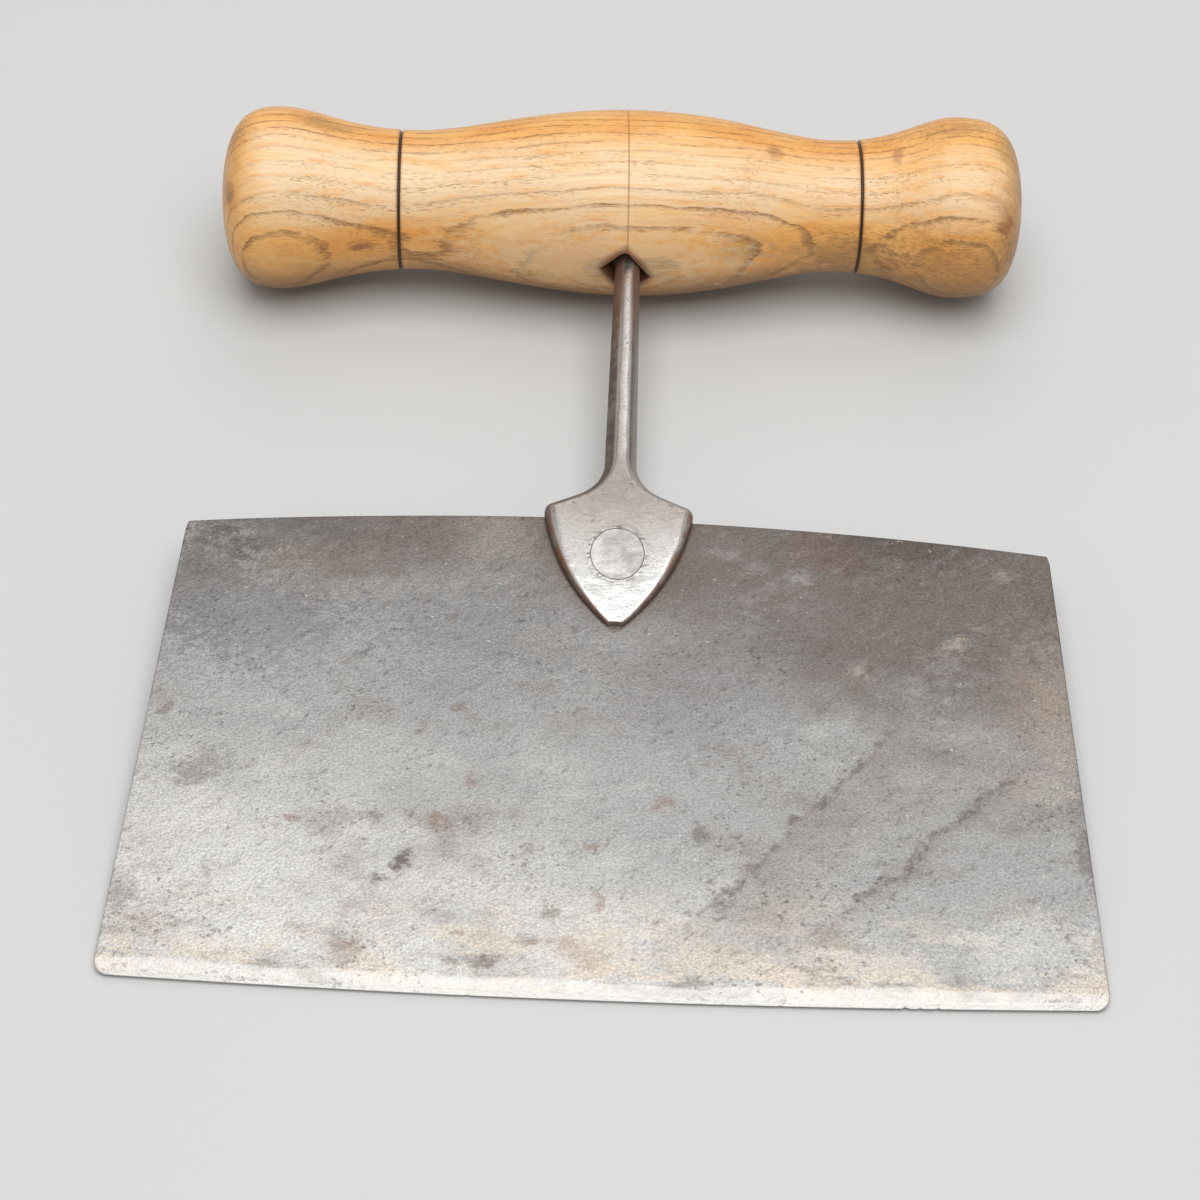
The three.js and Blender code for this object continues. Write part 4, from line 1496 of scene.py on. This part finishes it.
def forged_steel():
    """Forged shank: burnished on its flats, brown in its bevels, rusty where it meets the wood, with
    painted highlights, reflections and crevice shade.
    """
    steel = settings().steel
    at = {name: height / MM for name, height in shank_heights().items()}
    shading = Shading("forged steel")
    place = shading.place(chopper_frame())
    x, y, _z = shading.parts(place)
    normal = shading.node("ShaderNodeNewGeometry", {}, "Normal")
    own = chopper_frame().to_3x3().col[2]
    facing = shading.math("ABSOLUTE", shading.dot(normal, own))
    cloud = shading.grain(place, (4, 4, 4), 5.0, 0.7)
    fine = shading.grain(place, (0.5, 0.4, 0.5), 3.0, 0.75)
    facing = shading.plus(facing, shading.signed(cloud, 0.1))
    flat = shading.fade(facing, 0.88, 0.985)

    side = shading.plus(x, shading.signed(cloud, 1.0))
    scale = shading.mix(shading.fade(cloud, 0.38, 0.6), steel.stain, steel.soot)
    # painted reflection: the outer right-hand bevels lighter grey
    scale = shading.coat(scale, steel.grey, shading.fade(side, 1.3, 2.4), 0.6)
    worn = shading.plus(y, shading.signed(cloud, 10.0))
    # palm face brighter towards the tip: partly worn bright steel, partly painted reflection of the lamp
    bright = shading.times(shading.fade(worn, at["shoulder"] + 4, at["tip"] + 10), 0.85)
    face = shading.mix(bright, steel.brown, steel.bright)
    # painted highlight: the stem's front face pales towards its right side
    stem = shading.mix(shading.fade(side, -0.8, 0.9), steel.brown, steel.pale)
    face = shading.mix(shading.fade(worn, at["foot"] - 4, at["foot"] + 8), face, stem)
    base = shading.mix(flat, scale, face)
    # arrises painted bright: partly worn edges, partly painted highlight
    arris = shading.times(shading.fade(facing, 0.82, 0.9), shading.fade(facing, 0.985, 0.92))
    base = shading.coat(base, steel.bright, arris, 0.3)
    base = shading.coat(base, steel.stain, shading.fade(fine, 0.52, 0.7), 0.35)

    mouth = shading.plus(y, shading.signed(cloud, 8.0))
    bare = shading.minus(1.0, shading.times(flat, 0.75))
    rusted = shading.times(shading.fade(mouth, -38, -18), bare)
    rusted = shading.either(rusted, shading.fade(mouth, -18, -13))
    base = shading.coat(base, steel.rust, rusted, 0.8)
    base = shading.coat(base, steel.soot, shading.times(rusted, bare), 0.32)
    beside, up = beside_palm(shading, x, y)
    on_blade = shading.fade(up, 1.02, 0.92)
    low = shading.times(shading.times(on_blade, shading.fade(beside, -1.6, -0.4)), bare)
    low = shading.times(low, shading.fade(cloud, 0.35, 0.6))
    base = shading.coat(base, steel.rust, low, 0.75)
    # painted shade: a dark line where the palm meets the blade
    crevice_shade = shading.times(on_blade, shading.fade(beside, -0.5, 0.0))
    base = shading.coat(base, steel.soot, crevice_shade, 0.6)

    sparse = shading.grain(shading.shift(place, (9, 2, 4)), (6, 6, 6), 2.0, 0.5)
    sparse = shading.fade(sparse, 0.48, 0.62)
    pits = shading.grain(shading.shift(place, (2, 5, 1)), (0.9, 0.8, 0.9), 3.0, 0.6)
    pitted = shading.times(shading.fade(pits, 0.56, 0.68), sparse)
    base = shading.coat(base, steel.soot, pitted, 0.5)
    base = rivet_cracks(shading, base, place)
    scratch = shading.grain(place, (1.8, 0.35, 0.5), 4.0, 0.65)
    base = shading.coat(base, steel.stain, shading.fade(scratch, 0.5, 0.72), 0.15)
    dent = shading.grain(place, (3.6, 3.2, 3.6), 2.0, 0.5)
    roughness = shading.plus(0.45, shading.times(fine, 0.16))
    roughness = shading.minus(roughness, shading.times(flat, 0.3))
    relief = shading.bump(fine, 0.025)
    relief = shading.bump(scratch, 0.022, relief)
    relief = shading.bump(dent, 0.15, relief)
    relief = shading.bump(shading.minus(1.0, pitted), 0.05, relief)
    metallic = shading.plus(0.3, shading.times(flat, 0.55))
    return shading.finish(base, roughness, relief, metallic, Specular_IOR_Level=0.25)


def rivet_steel():
    """Soft steel rivet, filed flush."""
    steel = settings().steel
    shading = Shading("rivet steel")
    place = shading.place(chopper_frame())
    cloud = shading.grain(place, (4.5, 3.5, 4), 5.0, 0.65)
    base = shading.mix(shading.fade(cloud, 0.38, 0.72), steel.grey, steel.pale)
    base = shading.coat(base, steel.brown, shading.fade(cloud, 0.55, 0.35), 0.4)
    fine = shading.grain(place, (0.9, 0.4, 0.6), 3.0, 0.65)
    base = shading.coat(base, steel.stain, shading.fade(fine, 0.52, 0.7), 0.4)
    roughness = shading.plus(0.24, shading.times(fine, 0.16))
    relief = shading.bump(fine, 0.02)
    relief = shading.bump(cloud, 0.12, relief)
    return shading.finish(base, roughness, relief, 0.85)


def rove_iron():
    """Dull brown iron of the washer under the tang's hammered end."""
    steel = settings().steel
    shading = Shading("rove iron")
    place = shading.place(chopper_frame())
    cloud = shading.grain(place, (3, 3, 3), 4.0, 0.6)
    base = shading.mix(shading.fade(cloud, 0.4, 0.65), steel.patina, steel.rust)
    fine = shading.grain(place, (0.5, 0.5, 0.5), 3.0, 0.65)
    roughness = shading.plus(0.4, shading.times(fine, 0.25))
    relief = shading.bump(fine, 0.04)
    return shading.finish(base, roughness, relief, 0.85)


RING_SPACING = 2.3  # millimetres from one year's growth to the next
FINE_SPACING = 0.85  # millimetres between the faint lines within a year
YEAR_STEP = 5.5  # angle from year to year of the wave that makes some years strong and some weak
PITH = (0.0, 72.6, 3.0)  # middle of the tree's rings, in millimetres of the handle's frame
PALE_BAND_SIDE = (0.0, -0.47, 0.883)  # direction of the side painted pale: partly wood worn by hands, partly painted highlight of the lamp
PALE_BAND_LEAN = 0.0008  # how much less pale that band is for each millimetre to the right
PALE_BAND_OFF_AXIS = (8.0, 13.0)  # millimetres from the handle's axis where the pale band starts and is full
PALE_BAND_OFF_ENDS = (74.0, 67.0)  # millimetres from the shank where the pale band ends and where it is full
# spots on the wood: colour, centre in millimetres of the handle's frame, size and strength
WOOD_SPOTS = (
    ("red", (26.3, 0.3, 13.8), (1.6, 2.4, 3.0), 0.55),
    ("red", (49.2, 0.4, 13.8), (1.2, 2.6, 3.0), 0.5),
    ("red", (-49.8, -13.4, 2.2), (2.8, 3.0, 1.5), 0.9),
    ("red", (68.8, -12.2, 8.2), (1.8, 2.2, 2.6), 0.7),
    ("red", (66.0, -9.0, 12.5), (3.5, 2.0, 2.0), 0.3),
    ("dirt", (-73.8, -8.0, 10.0), (1.8, 2.5, 2.5), 0.6),
    ("dirt", (-72.5, 3.0, 12.5), (3.0, 4.0, 4.0), 0.4),
    ("dirt", (-57.0, 5.5, 14.5), (7.0, 3.0, 3.0), 0.45),
    ("dirt", (60.0, 5.0, 15.3), (6.0, 2.5, 3.0), 0.4),
    # dark spots low on the front of the knobs, waist and swell: partly handling dirt, partly painted
    # shade
    ("dirt", (-63.0, -16.0, -4.0), (13.0, 7.0, 7.0), 0.25),
    ("dirt", (61.0, -15.0, 0.0), (15.0, 8.0, 10.0), 0.45),
    ("dirt", (40.0, -11.0, 0.0), (14.0, 7.0, 6.0), 0.55),
    ("dirt", (22.0, -15.5, 4.0), (8.0, 4.0, 3.0), 0.4),
    ("dirt", (20.0, -15.0, -7.0), (18.0, 7.0, 7.0), 0.5),
    ("dirt", (-15.0, -14.0, -10.0), (9.0, 4.0, 3.0), 0.5),
    # pale spot on the swell's lower front: partly paler wood, partly painted light
    ("pale", (-6.0, -16.5, 3.0), (34.0, 9.0, 9.0), 0.5),
)


def growth_rings(shading, place):
    """Distance from the pith, how far a place has got in its year's growth, and that year's vigour."""
    bend = shading.grain(place, (60, 26, 26), 3.0, 0.45, "Color")
    bend = shading.vector("MULTIPLY", shading.vector("SUBTRACT", bend, (0.5, 0.5, 0.5)), (0, 8, 8))
    across = shading.vector("ADD", shading.vector("SUBTRACT", place, PITH), bend)
    across = shading.vector("MULTIPLY", across, (0, 1, 1))
    growth = shading.size(across)
    rough = shading.signed(shading.grain(place, (8, 2.0, 2.0), 4.0, 0.62), 1.2)
    years = shading.over(shading.plus(growth, rough), RING_SPACING)
    year = shading.math("FRACT", years)
    vigour = shading.math("SINE", shading.times(shading.math("FLOOR", years), YEAR_STEP))
    vigour = shading.plus(0.35, shading.times(shading.fade(vigour, -0.8, 0.9), 0.65))
    return growth, year, vigour


def mouth_reach(shading):
    """How far out a place lies in the slanted diamond of the mouth, whose sides are at about 1."""
    handle = settings().handle
    x, _y, z = shading.parts(shading.place(chopper_frame()))
    sideways = shading.minus(x, handle.mouth_aside / MM)
    sideways = shading.over(sideways, handle.mouth_width / 2 / MM)
    level = shading.plus(z, shading.times(sideways, handle.mouth_twist / MM))
    level = shading.over(level, handle.mouth_height / 2 / MM)
    out = shading.plus(shading.math("ABSOLUTE", sideways), shading.math("ABSOLUTE", level))
    across = shading.node("ShaderNodeCombineXYZ", {"X": sideways, "Y": level})
    round_out = shading.size(across)
    return shading.plus(shading.times(out, 0.5), shading.times(round_out, 0.62))


def burnt_rings(shading, base, x):
    """The base with the two burnt rings and the dirt in the scribed line."""
    wood = settings().wood
    handle = settings().handle
    half = handle.ring_width / 2 / MM
    for ring in (-handle.left.ring / MM, handle.right.ring / MM):
        away = shading.math("ABSOLUTE", shading.minus(x, ring))
        base = shading.coat(base, wood.pore, shading.fade(away, 2.4 * half, half), 0.4)
        base = shading.mix(shading.fade(away, half, 0.5 * half), base, wood.burn)
    aside = shading.math("ABSOLUTE", shading.minus(x, handle.line_place / MM))
    base = shading.coat(base, wood.pore, shading.fade(aside, 0.22, 0.06), 0.5)
    return base


def handle_wood():
    """Ring-porous hardwood, honey coloured, with dirt in its open pores and two burnt rings."""
    wood = settings().wood
    shading = Shading("handle wood")
    place = shading.place(handle_frame())
    x, y, z = shading.parts(place)

    growth, year, vigour = growth_rings(shading, place)
    early = shading.times(shading.fade(year, 0.0, 0.05), shading.fade(year, 0.36, 0.1))
    late = shading.fade(year, 0.35, 1.0)
    week = shading.math("FRACT", shading.over(growth, FINE_SPACING))
    thin = shading.times(shading.fade(week, 0.0, 0.2), shading.fade(week, 0.6, 0.3))

    fibre = shading.grain(place, (26, 0.8, 0.8), 5.0, 0.65)
    mottle = shading.grain(place, (16, 7, 7), 5.0, 0.65)
    streak = shading.grain(shading.shift(place, (7, 3, 5)), (34, 2.6, 2.6), 4.0, 0.6)
    spoke = shading.vector("MULTIPLY", place, (0, 1, 1))
    outward = shading.vector("NORMALIZE", spoke)
    upward = shading.dot(outward, PALE_BAND_SIDE)
    off_axis = shading.fade(shading.size(spoke), *PALE_BAND_OFF_AXIS)
    off_ends = shading.fade(shading.math("ABSOLUTE", x), *PALE_BAND_OFF_ENDS)
    base = shading.mix(shading.fade(mottle, 0.3, 0.66), wood.amber, wood.honey)
    base = shading.coat(base, wood.amber, shading.fade(streak, 0.5, 0.68), 0.45)
    # pale band on the upper front: partly wood worn by hands, partly painted highlight where the lamp's
    # gloss falls
    rubbed_and_lit = shading.plus(upward, shading.signed(streak, 0.25))
    rubbed_and_lit = shading.fade(shading.minus(rubbed_and_lit, shading.times(x, PALE_BAND_LEAN)), 0.76, 1.01)
    rubbed_and_lit = shading.times(rubbed_and_lit, shading.times(off_axis, off_ends))
    base = shading.coat(base, wood.pale, rubbed_and_lit, 0.85)
    patch = shading.grain(shading.shift(place, (3, 9, 1)), (15, 4, 4), 5.0, 0.65)
    base = shading.coat(base, wood.honey, shading.fade(patch, 0.5, 0.66), 0.5)
    # painted shade: browner on the side turned away from the lamp
    base = shading.coat(base, wood.shade, shading.fade(upward, 0.6, 0.0), 0.5)
    base = shading.coat(base, wood.amber, late, shading.fade(fibre, 0.42, 0.75))
    base = shading.coat(base, wood.shade, shading.fade(fibre, 0.5, 0.3), 0.15)
    base = shading.coat(base, wood.dirt, thin, 0.07)
    faint = shading.fade(shading.grain(place, (12, 2.6, 2.6), 4.0, 0.62), 0.33, 0.56)
    faint = shading.times(faint, vigour)
    line = shading.times(shading.fade(year, 0.0, 0.04), shading.fade(year, 0.28, 0.06))
    base = shading.coat(base, wood.dirt, shading.times(line, faint), 0.52)

    pores = shading.grain(place, (1.5, 0.22, 0.22), 1.0, 0.5)
    row = shading.times(shading.times(early, shading.fade(pores, 0.43, 0.58)), faint)
    open_grain = shading.either(shading.fade(mottle, 0.64, 0.42), shading.fade(upward, 0.75, 0.3))
    open_grain = shading.times(open_grain, shading.either(shading.fade(year, 0.8, 0.3), 0.45))
    low_right = shading.times(shading.fade(x, 8.0, 45.0), shading.fade(upward, 0.97, 0.75))
    open_grain = shading.either(open_grain, low_right)
    fleck = shading.times(shading.fade(pores, 0.54, 0.7), open_grain)
    dark = shading.either(row, shading.times(fleck, 0.85))
    base = shading.coat(base, wood.pore, dark, 0.7)

    # darker underside: partly grime of handling, partly painted shade under the handle; the two ends
    # darkened by dirt
    grime = shading.grain(place, (9, 5, 5), 5.0, 0.65)
    under = shading.plus(z, shading.times(y, 0.25))
    under = shading.plus(under, shading.signed(grime, 10.0))
    soiled_and_shaded = shading.times(shading.fade(under, -3.0, -14.0), 0.85)
    strayed = shading.plus(x, shading.signed(grime, 12.0))
    soiled_and_shaded = shading.either(soiled_and_shaded, shading.times(shading.fade(strayed, 65.0, 73.0), 0.7))
    soiled_and_shaded = shading.either(soiled_and_shaded, shading.times(shading.fade(strayed, -70.0, -77.0), 0.3))
    base = shading.mix(soiled_and_shaded, base, wood.dirt)
    ragged = shading.signed(shading.grain(place, (3.0, 1.6, 1.6), 4.0, 0.7), 2.4)
    for name, centre, size, strength in WOOD_SPOTS:
        spot = shading.spot(place, centre, size, ragged)
        base = shading.coat(base, getattr(wood, name), spot, strength)

    singed = shading.fade(shading.plus(mouth_reach(shading), shading.times(ragged, 0.12)), 1.42, 0.98)
    singed = shading.times(singed, shading.math("LESS_THAN", y, 0.0))
    base = shading.coat(base, wood.singe, singed, 0.9)
    base = burnt_rings(shading, base, x)

    roughness = shading.plus(0.25, shading.times(grime, 0.18))
    roughness = shading.plus(roughness, shading.times(dark, 0.2))
    relief = shading.bump(shading.minus(1.0, dark), 0.06)
    relief = shading.bump(fibre, 0.04, relief)
    return shading.finish(base, roughness, relief, 0.0, Specular_IOR_Level=0.48)


# Stage

FLOOR_SIZE = 6.0
FLOOR_ROUGHNESS = 0.6
SENSOR_WIDTH = 36  # millimetres
CLIP_START = 0.01
KEY_PLACE = (0.05, -0.18, 1.1)
KEY_SIZE = 1.0
REAR_PLACE = (0.0, 0.85, 0.85)
REAR_SIZE = 0.8


def add_floor(stage):
    """The plain table under the chopper."""
    mesh = bpy.data.meshes.new("floor")
    half = FLOOR_SIZE / 2
    corners = [(-half, -half, 0), (half, -half, 0), (half, half, 0), (-half, half, 0)]
    mesh.from_pydata(corners, [], [(0, 1, 2, 3)])
    shading = Shading("pale floor")
    surface = shading.surface.inputs
    surface["Base Color"].default_value = (*stage.floor, 1)
    surface["Roughness"].default_value = FLOOR_ROUGHNESS
    mesh.materials.append(shading.material)
    new_object("floor", mesh)


def add_camera(scene, stage):
    """The camera that sees the chopper as the settings place it."""
    camera = bpy.data.objects.new("camera", bpy.data.cameras.new("camera"))
    camera.data.lens = stage.lens
    camera.data.sensor_width = SENSOR_WIDTH
    camera.data.clip_start = CLIP_START
    camera.location = stage.eye
    camera.rotation_euler = Euler(stage.turn)
    scene.collection.objects.link(camera)
    scene.camera = camera


def add_lamp(scene, name, power, place, size):
    """A square lamp that points at the middle of the table."""
    lamp = bpy.data.lights.new(name, "AREA")
    lamp.energy = power
    lamp.size = size
    holder = bpy.data.objects.new(name, lamp)
    holder.location = place
    holder.rotation_euler = (-Vector(place)).to_track_quat("-Z", "Y").to_euler()
    scene.collection.objects.link(holder)


def add_lights(scene, stage):
    """The two lamps and the even light of the room."""
    add_lamp(scene, "key", stage.key, KEY_PLACE, KEY_SIZE)
    add_lamp(scene, "rear", stage.rear, REAR_PLACE, REAR_SIZE)

    world = bpy.data.worlds.new("room")
    world.use_nodes = True
    background = world.node_tree.nodes["Background"].inputs
    background["Color"].default_value = (1, 1, 1, 1)
    background["Strength"].default_value = stage.sky
    scene.world = world


# Operators


class CHOPPER_OT_add_blade(bpy.types.Operator):
    """Add the steel blade with its ground edge"""

    bl_idname = "chopper.add_blade"
    bl_label = "Add blade"

    def execute(self, context):
        piece = new_object("chopper_blade", blade_mesh())
        combine(piece, rivet_hole_mesh(), "DIFFERENCE")
        dress(piece, blade_steel(), chopper_frame(), "blade")
        return {"FINISHED"}


class CHOPPER_OT_add_shank(bpy.types.Operator):
    """Add the forged shank with its split palm, stem, bolster and tang"""

    bl_idname = "chopper.add_shank"
    bl_label = "Add shank"

    def execute(self, context):
        piece = new_object("chopper_shank", shank_mesh())
        combine(piece, slot_mesh(), "DIFFERENCE")
        combine(piece, rivet_mesh(settings().shank.fit, CUTTER_PROUD), "DIFFERENCE")
        dress(piece, forged_steel(), chopper_frame(), "shank")
        return {"FINISHED"}


class CHOPPER_OT_add_rivet(bpy.types.Operator):
    """Add the rivet, dressed flush with both cheeks of the palm"""

    bl_idname = "chopper.add_rivet"
    bl_label = "Add rivet"

    def execute(self, context):
        piece = new_object("chopper_rivet", rivet_mesh(0, 0))
        dress(piece, rivet_steel(), chopper_frame(), "rivet")
        return {"FINISHED"}


class CHOPPER_OT_add_handle(bpy.types.Operator):
    """Add the turned wooden handle with its burnt rings and the mouth for the shank"""

    bl_idname = "chopper.add_handle"
    bl_label = "Add handle"

    def execute(self, context):
        sizes = settings()
        handle = sizes.handle
        material = handle_wood()
        piece = turned_piece("chopper_handle", handle_profile(), material)
        far = handle.swell
        unskew = Matrix.Rotation(-handle.skew, 4, "Z")
        bore = sizes.shank.tang_diameter + 2 * handle.fit
        seat = sizes.rove.diameter + 2 * handle.fit
        for cutter in (
            mouth_mesh(-far),
            bar_mesh(bore, -far, far, ROUND_SIDES),
            bar_mesh(seat, rove_seat(), far, ROUND_SIDES),
        ):
            cutter.transform(unskew)
            combine(piece, cutter, "DIFFERENCE")
        dress(piece, material, handle_frame(), "handle")
        return {"FINISHED"}


class CHOPPER_OT_add_rove(bpy.types.Operator):
    """Add the rove under the hammered end of the tang"""

    bl_idname = "chopper.add_rove"
    bl_label = "Add rove"

    def execute(self, context):
        piece = new_object("chopper_rove", rove_mesh())
        dress(piece, rove_iron(), chopper_frame(), "rove")
        return {"FINISHED"}


class CHOPPER_OT_set_stage(bpy.types.Operator):
    """Lay the pale floor and set the lights and the camera"""

    bl_idname = "chopper.set_stage"
    bl_label = "Set stage"

    def execute(self, context):
        stage = settings().stage
        add_floor(stage)
        add_camera(context.scene, stage)
        add_lights(context.scene, stage)
        context.scene.view_settings.view_transform = "Standard"
        return {"FINISHED"}


# Panel and registration


def draw_group(layout, group):
    """Shows the values of a group, with each group inside it in a box of its own."""
    for key in group.__annotations__:
        inner = getattr(group, key)
        if isinstance(inner, bpy.types.PropertyGroup):
            box = layout.box()
            box.label(text=key.capitalize())
            draw_group(box, inner)
        else:
            layout.prop(group, key)


class CHOPPER_PT_pieces(bpy.types.Panel):
    """The chopper's pieces and their settings"""

    bl_label = "Herb chopper"
    bl_idname = "CHOPPER_PT_pieces"
    bl_space_type = "VIEW_3D"
    bl_region_type = "UI"
    bl_category = "Chopper"

    def draw(self, context):
        for operator in OPERATORS:
            self.layout.operator(operator.bl_idname)
        draw_group(self.layout, context.scene.chopper)


OPERATORS = (
    CHOPPER_OT_add_blade,
    CHOPPER_OT_add_shank,
    CHOPPER_OT_add_rivet,
    CHOPPER_OT_add_handle,
    CHOPPER_OT_add_rove,
    CHOPPER_OT_set_stage,
)
CLASSES = (
    BladeSizes,
    ShankSizes,
    RivetSizes,
    HandleSide,
    HandleSizes,
    RoveSizes,
    SteelColours,
    WoodColours,
    StageSettings,
    ChopperSettings,
    *OPERATORS,
    CHOPPER_PT_pieces,
)


def register():
    for kind in CLASSES:
        bpy.utils.register_class(kind)
    bpy.types.Scene.chopper = PointerProperty(type=ChopperSettings)


def unregister():
    del bpy.types.Scene.chopper
    for kind in reversed(CLASSES):
        bpy.utils.unregister_class(kind)


# what the two sides of the handle have of their own: lengths in millimetres, then shares
LEFT_LENGTHS = {"end": 76.1, "crown": 65.6, "crown_diameter": 33.8, "waist": 39.6, "waist_diameter": 25.9}
RIGHT_LENGTHS = {
    "end": 73.2,
    "crown": 60.9,
    "crown_diameter": 33.7,
    "waist": 38.6,
    "waist_diameter": 24.4,
    "ring": 42.5,
}
RIGHT_SHARES = {"swell_leave": 0.48, "end_leave": 0.65, "end_arrive": 0.88}


def set_handle_sides():
    """Makes the two sides differ a little, as hand turning leaves them."""
    handle = settings().handle
    for side, lengths in ((handle.left, LEFT_LENGTHS), (handle.right, RIGHT_LENGTHS)):
        for name, millimetres in lengths.items():
            setattr(side, name, millimetres * MM)
    for name, value in RIGHT_SHARES.items():
        setattr(handle.right, name, value)


def main():
    """Makes the chopper and its stage."""
    register()
    set_handle_sides()
    bpy.ops.chopper.add_blade()
    bpy.ops.chopper.add_shank()
    bpy.ops.chopper.add_rivet()
    bpy.ops.chopper.add_handle()
    bpy.ops.chopper.add_rove()
    bpy.ops.chopper.set_stage()


if __name__ == "__main__":
    main()
